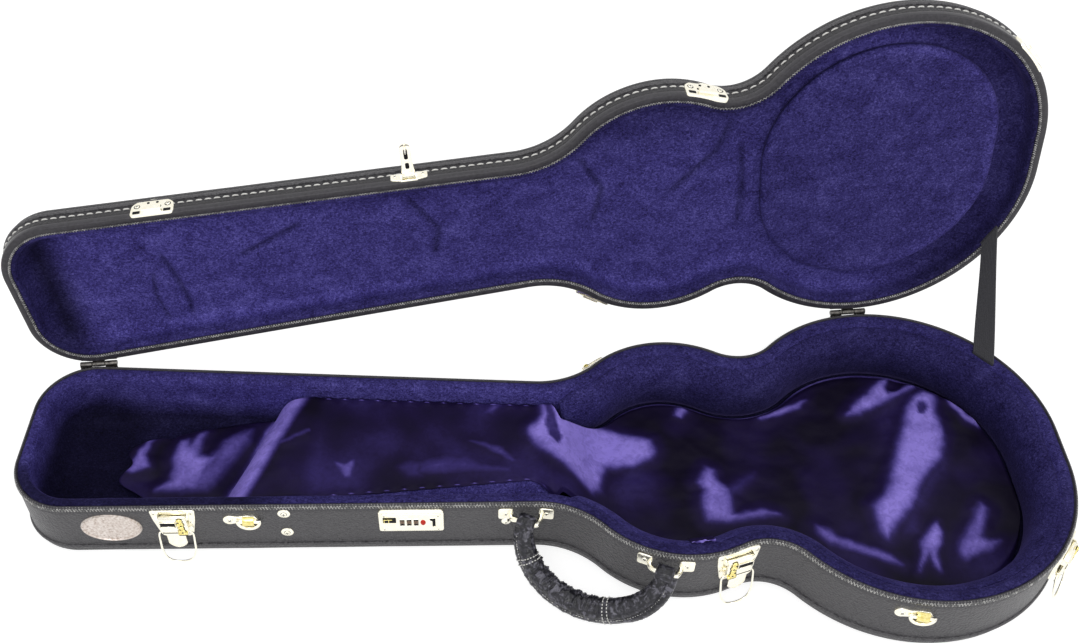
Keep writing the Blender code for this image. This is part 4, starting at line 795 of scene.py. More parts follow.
def build_lid_pad():
    """Raised round pad that presses on the guitar's body, with a rolled edge."""
    radius = LOWER_BOUT_RADIUS - PAD_MARGIN
    centre = (CASE_LENGTH / 2 - LOWER_BOUT_RADIUS, TAIL_FLAT / 2)
    turns = np.linspace(math.pi, 0, 150)
    spokes = np.column_stack([np.cos(turns), np.sin(turns)])
    rear = np.array(centre) + radius * spokes
    loop = np.concatenate([rear, rear[::-1] * FLIP])
    outward = np.concatenate([spokes, spokes[::-1] * FLIP])
    seat = LID_FACE - GAP
    profile = [(0.0025, 0.0), (0.0003, 0.0012), (-0.0003, 0.0034), (0.0005, 0.0062), (0.0024, 0.0084),
               (0.0058, 0.0092), (0.011, 0.0084), (0.016, 0.0074)]
    profile += [(inset, PAD_THICKNESS - 0.0008) for inset in np.linspace(0.022, radius * 0.94, 24)]
    rings = []
    for index, (inset, rise) in enumerate(profile):
        plan = loop - outward * inset
        ring = raised(plan, seat - rise)
        soft = 1.0 if index > 1 else 0.0
        ring[:, 2] -= creased(ring[:, 0], ring[:, 1], LID_CREASES)[0] * soft
        ring[:, 2] += (wander(ring, 0.050, 21.0) * 0.0008 + wander(ring, 0.015, 25.0) * 0.0004) * soft
        rings.append(ring)
    item = piece_from("lid_pad_cushion", np.concatenate(rings), capped_faces(len(rings), len(loop)), PLUSH)
    x, y, z = points_of(item).T
    # Painted shade in the creases and on the pad's low edge, and a painted highlight on its rim towards the tail
    shade = 0.84 - 0.42 * creased(x, y, LID_CREASES)[1]
    away = np.hypot(x - centre[0], np.maximum(np.abs(y) - centre[1], 0))
    rim = np.exp(-((away - radius + 0.006) / 0.005) ** 2) * smooth_step(x, 0.33, 0.42)
    shade *= 1 + 0.25 * rim
    shade *= np.where(seat - z < 0.005, 0.30, 1.0)
    values_on(item, "shade", np.clip(shade, 0.2, 1.5))
    dress(opened(item), "lid", "plush", "lid_body_pad")


def build_base_lining():
    corner = corner_at(REAR_POINTS[:, 0], 0.008, 0.022)
    rear = REAR_POINTS - REAR_NORMALS * (WALL + GAP + LINING + corner * 1.4)[:, None]

    def floor(x, y):
        return FLOOR_TOP + rumpled(x, y, 31.0) * 0.5

    rings = lining_rings(FLOOR_TOP, BASE_DEPTH, 37.0, corner, BASE_BINDING_WIDTH)
    item = tray("base_plush_lining", rear, floor, rings, PLUSH)
    x, y, z = points_of(item).T
    # Painted shade: darker low down and at the head end, on the top strip along the front, and over the body
    # recess
    height = smooth_step(z, 0.016, 0.052)
    head = smooth_step(-x, 0.40, 0.50)
    shade = 0.18 + 1.02 * height
    shade *= 1 - head * (0.80 - 0.55 * smooth_step(z, 0.030, 0.060))
    front = smooth_step(-y, 0.02, 0.06)
    strip = 0.88 - 0.26 * front - 0.42 * front * smooth_step(-x, 0.24, 0.30)
    over = smooth_step(z, 0.0745, 0.0795)
    shade = shade * (1 - over) + strip * over
    shade *= 1 - 0.30 * smooth_step(x, BLOCK_END - 0.03, BLOCK_END + 0.05)
    values_on(item, "shade", np.clip(shade, 0.10, 1.1))
    dress(item, "base", "plush", "base_wall_lining", "base_floor_lining")


def build_bolster():
    """Sloped padding round the body recess that runs down from the rim to the satin."""
    start = rear_length_at(BLOCK_END) + BOLSTER_CLEARANCE
    end = front_length_at(BLOCK_END) - BOLSTER_CLEARANCE
    lengths = np.linspace(start, end, 420)
    point, normal = outline_at(lengths)
    low = FLOOR_TOP + GAP
    far = BOLSTER_WIDTH
    section = [(0.0006, low), (0.0001, low + 0.012), (-0.0004, 0.060), (-0.0004, 0.0745), (0.0010, 0.0752),
               (0.0040, 0.0738), (0.0075, 0.0712), (0.0110, 0.0675), (0.0140, 0.0625), (0.0162, 0.0560),
               (0.0176, 0.0480), (0.0184, 0.0400), (far - 0.0004, 0.0300), (far - 0.0010, low + 0.008),
               (far - 0.0040, low)]
    rings = []
    tapered = smooth_step(np.minimum(lengths - start, end - lengths), 0, 0.012)
    for inset, z in section:
        ring = raised(point - normal * (LINED_WALL + inset), z)
        soft = smooth_step(z, low + 0.004, low + 0.02)
        swell = wander(ring, 0.04, 43.0) * 0.0009 + wander(ring, 0.012, 47.0) * 0.0005
        ring[:, 2] = low + (ring[:, 2] - low) * (0.80 + 0.20 * tapered) + swell * soft * 0.6
        ring[:, :2] += normal * (swell * soft)[:, None] * 0.6
        rings.append(ring)
    faces = capped_faces(len(lengths), len(section))
    item = piece_from("body_bolster_roll", np.stack(rings, axis=1).reshape(-1, 3), faces, PLUSH)
    x, _, z = points_of(item).T
    # Painted shade, darker towards its foot and towards the tail
    shade = (0.28 + 0.36 * smooth_step(z, 0.020, 0.066)) * (1 - 0.22 * smooth_step(x, 0.14, 0.26))
    values_on(item, "shade", shade)
    dress(item, "base", "plush", "body_bolster")


def build_block():
    """Padded block under the neck."""
    chosen = (REAR_POINTS[:, 0] > BLOCK_START) & (REAR_POINTS[:, 0] < BLOCK_END)
    rear = (REAR_POINTS - REAR_NORMALS * LINED_WALL)[chosen]
    low = FLOOR_TOP + GAP
    rings = []
    profile = [(0.0, low), (0.0, low + 0.02), (0.0, BLOCK_TOP - 0.008), (0.0014, BLOCK_TOP - 0.003),
               (0.0048, BLOCK_TOP - 0.0006), (0.012, BLOCK_TOP - 0.0002), (0.030, BLOCK_TOP - 0.0002)]
    centre = (BLOCK_START + BLOCK_END) / 2
    half = (BLOCK_END - BLOCK_START) / 2
    for inset, z in profile:
        side = np.array(rear)
        side[:, 1] -= inset
        side[:, 0] = centre + (side[:, 0] - centre) * (half - inset) / half
        ring = np.concatenate([side, side[::-1] * FLIP])
        rings.append(raised(ring, z))
    faces = capped_faces(len(rings), len(rings[0]))
    item = piece_from("neck_block_pad", np.concatenate(rings), faces, PLUSH)
    values_on(item, "shade", np.full(len(item.data.vertices), 0.9))
    dress(item, "base", "plush", "neck_block")


# Satin cover
SATIN_LEFT = -0.447
SATIN_STEP = 0.0024
SATIN_ROWS = 124
SATIN_THICKNESS = 0.0007
SATIN_CLEARANCE = 0.0012
SATIN_NARROWED = 0.026
TACK_PITCH = 0.018

# Painted highlights, where the satin catches the light: part picked on, cloth's height, outline in its pixels,
# highlight strength, edge, rise
SATIN_PAINTED_HIGHLIGHTS = {
    "big band": (TAIL_PART, 0.021, (
        (1215, 165), (1268, 190), (1275, 270), (1318, 380), (1300, 480), (1200, 620), (1150, 740),
        (1060, 850), (1035, 890), (1000, 850), (970, 735), (1020, 680), (1060, 560), (1085, 440),
        (1112, 340), (1130, 240), (1165, 190)), 1.0, 0.0055, 0.006),
    "upper v": (TAIL_PART, 0.024, (
        (1050, 60), (1025, 130), (1040, 160), (1090, 150), (1150, 112), (1178, 122), (1110, 160),
        (1000, 215), (900, 260), (835, 265), (860, 225), (930, 165), (1000, 100)), 0.95, 0.004, 0.005),
    "edge strip": (TAIL_PART, 0.024, (
        (630, 192), (600, 228), (520, 258), (410, 290), (395, 280), (470, 245), (560, 212)),
        0.85, 0.003, 0.003),
    "right hook": (TAIL_PART, 0.024, (
        (1325, 160), (1355, 178), (1400, 240), (1450, 278), (1475, 256), (1490, 285), (1525, 280),
        (1530, 302), (1490, 322), (1430, 302), (1375, 250), (1335, 205)), 0.95, 0.0025, 0.004),
    "front lobe": (TAIL_PART, 0.021, (
        (130, 532), (168, 550), (182, 600), (240, 650), (258, 710), (262, 770), (300, 772), (400, 745),
        (500, 775), (380, 790), (240, 812), (140, 808), (112, 750), (108, 690), (118, 655), (92, 620),
        (104, 580)), 0.85, 0.005, 0.005),
    "front lobe faint": (TAIL_PART, 0.021, (
        (230, 640), (300, 590), (370, 555), (375, 590), (300, 650), (250, 680)), 0.35, 0.010, 0.001),
    "front streak": (TAIL_PART, 0.028, (
        (690, 805), (740, 825), (800, 862), (920, 905), (1060, 945), (1120, 1000), (1000, 965), (850, 928),
        (760, 895), (700, 850)), 0.75, 0.005, 0.003),
    "two prongs": (TAIL_PART, 0.026, (
        (1290, 800), (1318, 850), (1312, 900), (1298, 930), (1308, 1040), (1275, 1010), (1255, 945),
        (1225, 1000), (1205, 1040), (1215, 960), (1213, 890), (1245, 845)), 0.85, 0.0035, 0.004),
    "front right": (TAIL_PART, 0.021, (
        (1505, 715), (1535, 745), (1515, 830), (1500, 880), (1545, 905), (1595, 905), (1560, 955),
        (1480, 975), (1425, 1000), (1395, 955), (1400, 905), (1460, 815), (1480, 760)), 0.75, 0.006, 0.005),
    "right of band": (TAIL_PART, 0.021, (
        (1320, 470), (1340, 540), (1250, 660), (1190, 760), (1190, 850), (1120, 860), (1170, 700),
        (1240, 580)), 0.30, 0.014, 0.002),
    "block end": (BLOCK_PART, 0.040, (
        (390, 160), (400, 205), (422, 240), (424, 268), (388, 296), (382, 318), (400, 348), (440, 380),
        (500, 412), (575, 444), (602, 424), (610, 380), (622, 352), (700, 348), (755, 324), (770, 298),
        (755, 268), (690, 256), (600, 234), (500, 210), (450, 190), (428, 162)), 1.0, 0.005, 0.004),
    "tack tip": (BLOCK_PART, 0.030, (
        (828, 188), (850, 178), (862, 196), (846, 216), (830, 208)), 0.95, 0.003, 0.002),
    "block fold": (BLOCK_PART, 0.0592, (
        (208, 306), (250, 308), (305, 325), (345, 362), (335, 372), (300, 345), (250, 322)),
        0.42, 0.0035, 0.0012),
    "block front": (BLOCK_PART, 0.0592, (
        (60, 372), (140, 346), (200, 352), (240, 372), (330, 386), (330, 398), (200, 398), (60, 398)),
        0.36, 0.007, 0.0012),
    "block tuck": (BLOCK_PART, 0.0592, (
        (250, 222), (280, 190), (296, 160), (328, 162), (310, 190), (275, 222)), 0.45, 0.005, 0.0008),
    "drop": (SPILL_PART, 0.046, (
        (800, 128), (765, 145), (730, 190), (690, 232), (668, 275), (600, 400), (535, 495), (562, 498),
        (640, 432), (672, 385), (720, 292), (772, 232), (815, 190), (838, 130)), 1.0, 0.0035, 0.002),
    "drop crease": (SPILL_PART, 0.0592, (
        (670, 398), (740, 348), (880, 288), (882, 298), (735, 366), (690, 398)), 0.38, 0.002, 0.0006),
    "spill right": (SPILL_PART, 0.020, (
        (655, 278), (600, 295), (540, 325), (500, 372), (440, 440), (370, 535), (480, 535), (545, 445),
        (640, 325)), 0.55, 0.006, 0.006),
    "spill middle": (SPILL_PART, 0.018, (
        (465, 300), (440, 308), (405, 352), (395, 330), (365, 335), (332, 400), (336, 440), (320, 480),
        (262, 530), (430, 530), (480, 440), (520, 400), (470, 395), (440, 385)), 0.80, 0.005, 0.006),
    "spill left": (SPILL_PART, 0.014, (
        (278, 322), (240, 342), (200, 382), (155, 462), (172, 468), (245, 442), (232, 395), (252, 355)),
        0.75, 0.003, 0.004),
    "block spot": (SPILL_PART, 0.0592, (
        (985, 408), (1015, 420), (1055, 403), (1062, 420), (1042, 465), (1018, 472), (1002, 440)),
        0.70, 0.004, 0.0008),
    "block left glow": (SPILL_PART, 0.0592, (
        (1230, 430), (1260, 412), (1325, 408), (1325, 462), (1270, 468)), 0.30, 0.007, 0.0008),
}
# Folded-in places: lowered, with painted shade that dims the painted highlight there
SATIN_SLITS = {
    "slit 1": (BLOCK_PART, 0.045, (
        (438, 190), (455, 225), (466, 270), (482, 312), (474, 338), (448, 320), (436, 288), (440, 255),
        (430, 225))),
    "slit 2": (TAIL_PART, 0.021, (
        (1192, 215), (1215, 215), (1225, 245), (1212, 275), (1188, 272), (1182, 240))),
    "slit 3": (TAIL_PART, 0.024, (
        (1055, 80), (1085, 90), (1120, 105), (1110, 130), (1060, 150), (1040, 130))),
}


def cast(part, height, picks):
    """Plan points, to the millimetre, where picked pixels of a part of the photograph meet a height."""
    left, top, scale = part
    plan = []
    for across, down in picks:
        ray = CAMERA_TURN @ Vector((left + across / scale - PRINCIPAL_X, FOCAL_PIXELS,
                                    PRINCIPAL_Y - top - down / scale))
        spot = Vector(CAMERA_PLACE) + ray * ((height - CAMERA_PLACE[2]) / ray.z)
        spot = (round(spot.x, 3), round(spot.y, 3))
        if not plan or spot != plan[-1]:
            plan.append(spot)
    return plan


def outline_gap(points, outline):
    """Distance of plan points to a closed outline, negative inside it."""
    closed = (*outline, outline[0])
    gap = distance_to(points, closed)[0]
    inside = np.zeros(len(points), bool)
    x, y = points.T
    for (ax, ay), (bx, by) in zip(outline, closed[1:]):
        crossing = (ay > y) != (by > y)
        inside ^= crossing & (x < ax + (y - ay) * (bx - ax) / (by - ay + 1e-12))
    return np.where(inside, -gap, gap)


def satin_folds(plan):
    """Height of the folds at plan points, and their painted highlight."""
    flat = np.column_stack([plan, np.zeros(len(plan))])
    plan = plan + 0.0016 * np.column_stack([wander(flat, 0.011, 91.0), wander(flat, 0.011, 97.0)])
    height = np.zeros(len(plan))
    painted_highlight = np.zeros(len(plan))
    for part, level, picks, shine, soft, rise in SATIN_PAINTED_HIGHLIGHTS.values():
        gap = outline_gap(plan, cast(part, level, picks))
        crisp = smooth_step(-gap, -soft, soft * 0.8)
        deep = smooth_step(-gap, -soft * 0.3, soft * 2.4)
        halo = smooth_step(-gap, -soft * 4.0, 0.0)
        painted_highlight = np.maximum(painted_highlight, shine * (0.50 * crisp + 0.36 * deep + 0.14 * halo))
        height = np.maximum(height, rise * smooth_step(-gap, -0.016, 0.008))
    # Painted shade in the folded-in places
    for part, level, picks in SATIN_SLITS.values():
        cut = smooth_step(-outline_gap(plan, cast(part, level, picks)), -0.0030, 0.0020)
        height -= 0.0022 * cut
        painted_highlight *= 1 - 0.72 * cut
    return height, painted_highlight


def satin_rest(x, v):
    """Height of what carries the satin at x and at the share v across, and the painted highlight on the drop face.
    """
    slant = (1 - v) / 2
    fall_end = -0.290 - 0.050 * slant
    fall_start = fall_end + 0.048
    left = np.clip((x - fall_end) / (fall_start - fall_end), 0, 1)
    curved = 1 - (1 - left) ** 2.8
    slope_start = BLOCK_END - 0.004
    slope_end = BLOCK_END + 0.062
    right = 1 - smooth_step(x, slope_start, slope_end)
    high = BLOCK_TOP + SATIN_CLEARANCE
    low = FLOOR_TOP + 0.0016
    z = low + (high - low) * np.minimum(curved, right)
    shine = smooth_step(left, 0.0, 0.06) * (1 - smooth_step(left, 0.62, 0.95))
    return z, shine


def satin_half_width(x):
    outer = REAR_POINTS - REAR_NORMALS * (LINED_WALL + SATIN_CLEARANCE)
    block = np.interp(x, outer[:, 0], outer[:, 1])
    inner = REAR_POINTS - REAR_NORMALS * (LINED_WALL + BOLSTER_WIDTH + SATIN_CLEARANCE)
    body = np.interp(x, inner[:, 0], inner[:, 1])
    share = smooth_step(x, BLOCK_END, BLOCK_END + 0.012)
    width = block * (1 - share) + body * share
    return width * (1 - 0.40 * smooth_step(-x, 0.290, 0.440))


def build_satin():
    tail = CASE_LENGTH / 2 - LINED_WALL - BOLSTER_WIDTH - SATIN_CLEARANCE
    steps = int((tail - SATIN_LEFT) / SATIN_STEP)
    xs = SATIN_LEFT + (tail - SATIN_LEFT) * np.linspace(0, 1, steps + 1)
    v = np.linspace(1, -1, SATIN_ROWS)
    half = satin_half_width(xs)
    narrowed = SATIN_NARROWED * np.clip((xs + 0.30) / 0.28, 0, 1)
    narrowed *= 1 - smooth_step(xs, BLOCK_END - 0.022, BLOCK_END + 0.010)
    grid_x = np.repeat(xs, SATIN_ROWS)
    grid_v = np.tile(v, len(xs))
    grid_y = np.repeat(half, SATIN_ROWS) * grid_v + np.repeat(narrowed, SATIN_ROWS) * np.maximum(-grid_v, 0)
    # The left end of the spill is ragged, not a straight cut
    ragged = smooth_step(SATIN_LEFT + 0.06 - grid_x, 0, 0.06)
    grid_x = grid_x + ragged * (0.030 * grid_v ** 2 + 0.007 * np.sin(grid_v * 7 + 1))
    plan = np.column_stack([grid_x, grid_y])
    rest, drop_shine = satin_rest(grid_x, grid_v)
    height, painted_highlight = satin_folds(plan)
    flat = np.column_stack([plan, np.zeros(len(plan))])
    on_block = smooth_step(grid_x, BLOCK_START, BLOCK_START + 0.02)
    on_block *= 1 - smooth_step(grid_x, BLOCK_END - 0.02, BLOCK_END)
    loose = 1 - 0.85 * on_block
    swell = (wander(flat, 0.060, 61.0) * 0.5 + 0.5) * 0.008 * loose
    fine = (wander(flat, 0.022, 67.0) * 0.0014 + wander(flat, 0.009, 71.0) * 0.0004) * loose
    edge = smooth_step(1 - np.abs(grid_v), 0.0, 0.08)
    # Little tucks where the cover is tacked along the block's long edges
    tacks = np.sin(grid_x * 2 * math.pi / TACK_PITCH)
    tucks = 0.0008 * tacks * on_block * smooth_step(np.abs(grid_v), 0.86, 0.97)
    z = rest + (height + swell + fine + 0.002 * loose) * (0.25 + 0.75 * edge) + tucks
    top = np.column_stack([plan, z])
    under = top - np.array((0, 0, SATIN_THICKNESS))
    faces = sheet_faces(len(xs), SATIN_ROWS)
    item = piece_from("satin_sheet", np.concatenate([top, under]), faces, SATIN)
    # Painted highlight: the folds and the drop face, a wandering weakest level (higher on the block), a pale line
    # along the rear edge and spots on the tucks
    glow = np.maximum(painted_highlight, drop_shine * (0.92 + 0.20 * wander(flat, 0.03, 77.0)))
    glow *= 1.02 + 0.24 * wander(flat, 0.020, 83.0)
    dull = 0.03 + 0.20 * wander(flat, 0.070, 79.0) + 0.06 * wander(flat, 0.025, 89.0) + 0.09 * on_block
    selvedge = smooth_step(grid_v, 0.966, 0.980) * smooth_step(grid_x, 0.06, 0.10)
    dull = np.maximum(dull, selvedge * (0.50 + 0.40 * wander(flat, 0.05, 85.0)))
    spots = np.exp(-((np.abs(grid_v) - 0.970) / 0.010) ** 2) * np.maximum(tacks, 0) ** 4
    glow = np.clip(np.maximum(glow, dull) + spots * on_block * 0.8, 0, 1)
    values_on(item, "painted_highlight", np.concatenate([glow, glow]))
    dress(item, "base", "satin", "satin_cover")


# Lid stay strap
STRAP_HALF_WIDTH = 0.013
STRAP_HALF_THICKNESS = 0.0008
STRAP_TUCK = 0.0045
STRAP_LIFT = 0.0014
STRAP_FOOT_TURN = math.radians(41)
STRAP_HEAD_TURN = math.radians(33)


def strap_end(turn, z, inwards):
    """Two knots where the strap leaves a rim, with the directions across it and out of it."""
    outward = np.array((math.cos(turn), math.sin(turn), 0))
    inner = LOWER_BOUT_RADIUS - WALL
    sag = inner - math.sqrt(inner ** 2 - STRAP_HALF_WIDTH ** 2)
    inset = WALL + GAP + 0.0006 + sag + STRAP_HALF_THICKNESS
    centre = np.array((CASE_LENGTH / 2 - LOWER_BOUT_RADIUS, TAIL_FLAT / 2, 0))
    foot = centre + outward * (LOWER_BOUT_RADIUS - inset)
    across = np.array((outward[1], -outward[0], 0))
    heights = (z + inwards * STRAP_TUCK, z - inwards * STRAP_LIFT)
    return [foot + np.array((0, 0, height)) for height in heights], across, outward


def build_strap():
    """Ribbed webbing, sewn in at both rims and pulled straight by the open lid."""
    low, low_across, low_out = strap_end(STRAP_FOOT_TURN, BASE_DEPTH, -1)
    high, high_across, high_out = strap_end(STRAP_HEAD_TURN, LID_RIM, 1)
    turned = OPENING.to_3x3()
    high = [np.array(OPENING @ Vector(knot)) for knot in high]
    high_across = np.array(turned @ Vector(high_across))
    high_out = np.array(turned @ Vector(high_out))
    steps = 150
    stations = [(low[0], 0.0)]
    stations += [(low[1] + (high[1] - low[1]) * share, share) for share in np.linspace(0, 1, steps)]
    stations += [(high[0], 1.0)]
    rings = []
    across = np.linspace(-1, 1, 41)
    for index, (centre, share) in enumerate(stations):
        bend = smooth_step(share, 0, 1)
        side = low_across * (1 - bend) + high_across * bend
        out = low_out * (1 - bend) + high_out * bend
        weave = 0.00014 * math.sin(index * 1.9)
        crown = STRAP_HALF_THICKNESS * 0.80 + 0.00022 * np.cos(across * math.pi * 11) + weave
        crown[0] = crown[-1] = STRAP_HALF_THICKNESS * 0.4
        front = centre + side * across[:, None] * STRAP_HALF_WIDTH + out * crown[:, None]
        back = centre + side * across[::-1, None] * STRAP_HALF_WIDTH - out * crown[::-1, None]
        rings.append(np.concatenate([front, back]))
    faces = capped_faces(len(rings), len(rings[0]))
    item = piece_from("stay_strap_webbing", np.concatenate(rings), faces, WEBBING)
    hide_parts("lid_stay_strap")
    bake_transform(item)


def full_turn(sides):
    return [2 * math.pi * step / sides for step in range(sides)]


# Hardware, in wall frames: x to the right, out from the wall, z up
SECOND = 1
THIRD = 2


class Shape:
    """Collected solids, each marked with the place of its finish in the list of finishes."""

    def __init__(self, *finishes):
        self.finishes = finishes
        self.points = []
        self.faces = []
        self.marks = []

    def add(self, faces, mark):
        self.faces += faces
        self.marks += [mark] * len(faces)
        return self

    def rings(self, rings, mark=0, looped=False):
        first = len(self.points)
        count = len(rings[0])
        for ring in rings:
            self.points += [(x, -out, z) for x, out, z in ring]
        if looped:
            return self.add(band_faces(len(rings), count, first, looped), mark)
        return self.add(capped_faces(len(rings), count, first), mark)

    def slab(self, outline, near, far, bevel=0.0005, mark=0):
        """Prism of (x, z) points between two distances out, its front edge rounded."""
        rings = [[(x, near, z) for x, z in outline], [(x, far - bevel, z) for x, z in outline]]
        for turn in (math.pi / 6, math.pi / 3, math.pi / 2):
            ring = shrunk(outline, bevel * (1 - math.cos(turn)))
            rings.append([(x, far - bevel + bevel * math.sin(turn), z) for x, z in ring])
        return self.rings(rings, mark)

    def bar(self, left, right, out, z, radius, mark=0, sides=20, rounding=0.0004):
        """Round bar along x with softly rounded ends."""
        steps = ((left, radius - rounding), (left + rounding, radius), (right - rounding, radius),
                 (right, radius - rounding))
        rings = [[(x, out + r * math.cos(turn), z + r * math.sin(turn)) for turn in full_turn(sides)]
                 for x, r in steps]
        return self.rings(rings, mark)

    def dome(self, x, z, out, radius, height, mark=0, sides=22):
        """Round button that stands out from the wall."""
        rings = []
        for reach, rise in ((1.0, -0.4), (1.0, 0.0), (0.96, 0.35), (0.82, 0.68), (0.55, 0.90), (0.22, 1.0)):
            rings.append([(x + radius * reach * math.cos(turn), out + height * rise,
                           z + radius * reach * math.sin(turn)) for turn in full_turn(sides)])
        return self.rings(rings, mark)

    def screw(self, x, z, out, radius, turn, mark=0, dark=SECOND):
        """Low domed screw head; its cross cut is a raised dark slab, painted shade."""
        height = radius * 0.34
        self.dome(x, z, out, radius, height, mark)
        for angle in (turn, turn + math.pi / 2):
            along = (math.cos(angle) * radius * 0.58, math.sin(angle) * radius * 0.58)
            aside = (-math.sin(angle) * radius * 0.13, math.cos(angle) * radius * 0.13)
            corners = [(x + along[0] * u + aside[0] * v, z + along[1] * u + aside[1] * v)
                       for u, v in ((-1, -1), (1, -1), (1, 1), (-1, 1))]
            self.slab(corners, out, out + height * 1.03, radius * 0.05, dark)
        return self

    def wire(self, route, radius, mark=0, sides=10, looped=False):
        """Round wire along (x, out, z) points; radius is one value or one for each point."""
        route = [Vector(point) for point in route]
        radii = np.broadcast_to(radius, len(route))
        count = len(route)
        across = None
        rings = []
        for index, point in enumerate(route):
            before = route[index - 1] if index or looped else point
            after = route[(index + 1) % count] if index < count - 1 or looped else point
            heading = (after - before).normalized()
            if across is None:
                across = heading.orthogonal().normalized()
            across = (across - heading * across.dot(heading)).normalized()
            side = heading.cross(across)
            spokes = [across * math.cos(turn) + side * math.sin(turn) for turn in full_turn(sides)]
            rings.append([tuple(point + spoke * float(radii[index])) for spoke in spokes])
        return self.rings(rings, mark, looped)

    def sheet(self, front, thickness, mark=0):
        """Solid sheet from a grid of (x, out, z) front points."""
        first = len(self.points)
        back = [[(x, out - thickness, z) for x, out, z in row] for row in front]
        self.points += [(x, -out, z) for grid in (front, back) for row in grid for x, out, z in row]
        faces = sheet_faces(len(front), len(front[0]))
        return self.add([tuple(first + index for index in face) for face in faces], mark)

    def piece(self, name, place, sharp=38):
        item = piece_from(name, self.points, self.faces, self.finishes[0])
        for finish in self.finishes[1:]:
            item.data.materials.append(finish)
        item.data.polygons.foreach_set("material_index", self.marks)
        item.data.set_sharp_from_angle(angle=math.radians(sharp))
        item.data.transform(place)
        return item


def shrunk(outline, inset):
    """Outline moved inwards along its corner bisectors."""
    points = np.asarray(outline, float)
    before = points - np.roll(points, 1, 0)
    after = np.roll(points, -1, 0) - points
    before /= np.linalg.norm(before, axis=1)[:, None] + 1e-12
    after /= np.linalg.norm(after, axis=1)[:, None] + 1e-12
    area = np.sum(points[:, 0] * np.roll(points[:, 1], -1) - np.roll(points[:, 0], -1) * points[:, 1])
    sign = 1 if area > 0 else -1
    first = np.column_stack([-before[:, 1], before[:, 0]]) * sign
    second = np.column_stack([-after[:, 1], after[:, 0]]) * sign
    middle = first + second
    scale = 2 / np.maximum((middle ** 2).sum(axis=1), 0.7)
    return (points + middle * scale[:, None] * inset).tolist()


def softened(points, radius, steps=5, looped=True):
    """Points with each corner replaced by a short curve of about the given radius."""
    points = [np.array(point, float) for point in points]
    count = len(points)
    result = []
    for index, point in enumerate(points):
        if not looped and index in (0, count - 1):
            result.append(tuple(point))
            continue
        before = points[index - 1]
        after = points[(index + 1) % count]
        near = min(radius, np.linalg.norm(before - point) * 0.48)
        far = min(radius, np.linalg.norm(after - point) * 0.48)
        start = point + (before - point) / np.linalg.norm(before - point) * near
        end = point + (after - point) / np.linalg.norm(after - point) * far
        for share in np.linspace(0, 1, steps):
            rest = 1 - share
            result.append(tuple(start * rest ** 2 + point * 2 * share * rest + end * share ** 2))
    return result


def box_outline(left, right, low, high):
    return [(left, low), (right, low), (right, high), (left, high)]


def soft_box(left, right, low, high, radius):
    return softened(box_outline(left, right, low, high), radius)


def round_outline(x, z, wide, tall, sides=40):
    return [(x + wide * math.cos(turn), z + tall * math.sin(turn)) for turn in full_turn(sides)]


def wall_matrix(right, point, out=0.0):
    """Frame with X to the right along the wall and Y inwards; its origin lies on the base's underside."""
    right = Vector((right[0], right[1], 0)).normalized()
    inward = Vector((-right.y, right.x, 0))
    origin = Vector((point[0], point[1], 0)) + inward * out
    return Matrix(((right.x, inward.x, 0, origin.x), (right.y, inward.y, 0, origin.y),
                   (0, 0, 1, 0), (0, 0, 0, 1)))


def wall_place(length):
    point, normal = outline_at(length)
    return wall_matrix((-normal[0, 1], normal[0, 0]), point[0])


def lifted(place, x=0.0, out=0.0, z=0.0):
    return place @ Matrix.Translation((x, -out, z))


# What the plates share
PLATE_BACK = -0.003
PLATE_FRONT = 0.0018
PLATE_BEVEL = 0.0007
SLOT_FACE = 0.00205
SLOT_BEVEL = 0.0001
EAR_ROUNDING = 0.0012
BARREL_RADIUS = 0.0029


def add_ears(plate, reach, half_thickness, outline):
    """Two upright ears at the same reach left and right; the outline holds (out, z) points."""
    ear = softened(outline, EAR_ROUNDING)
    for x in (-reach, reach):
        plate.rings([[(u, out, z) for out, z in ear] for u in (x - half_thickness, x + half_thickness)])


# Draw latches
LATCH_LOW = 0.0325
LATCH_HIGH = 0.0765
LATCH_FOOT_HALF = 0.0135
LATCH_SCREW_X = 0.0186
LEVER_OUT = 0.0054
LEVER_Z = 0.068
LEVER_HALF_WIDTH = 0.0140
LEVER_BARREL_HALF = 0.0138
LEVER_CREASE = 0.0206
LEVER_TIP = 0.0360
LEVER_TIP_HALF_WIDTH = 0.0095
LEVER_THICKNESS = 0.0020
BAIL_Z = 0.046
BAIL_TILT = math.radians(12)
BAIL_WIRE = 0.0011
BEADS_X = 0.0076
CATCH_SCREW_X = 0.0156


def latch_place(index):
    joint = joints[f"latch_{index}_lever_hinge"]
    return wall_matrix(joint["axis"], joint["pos_m"], LEVER_OUT)


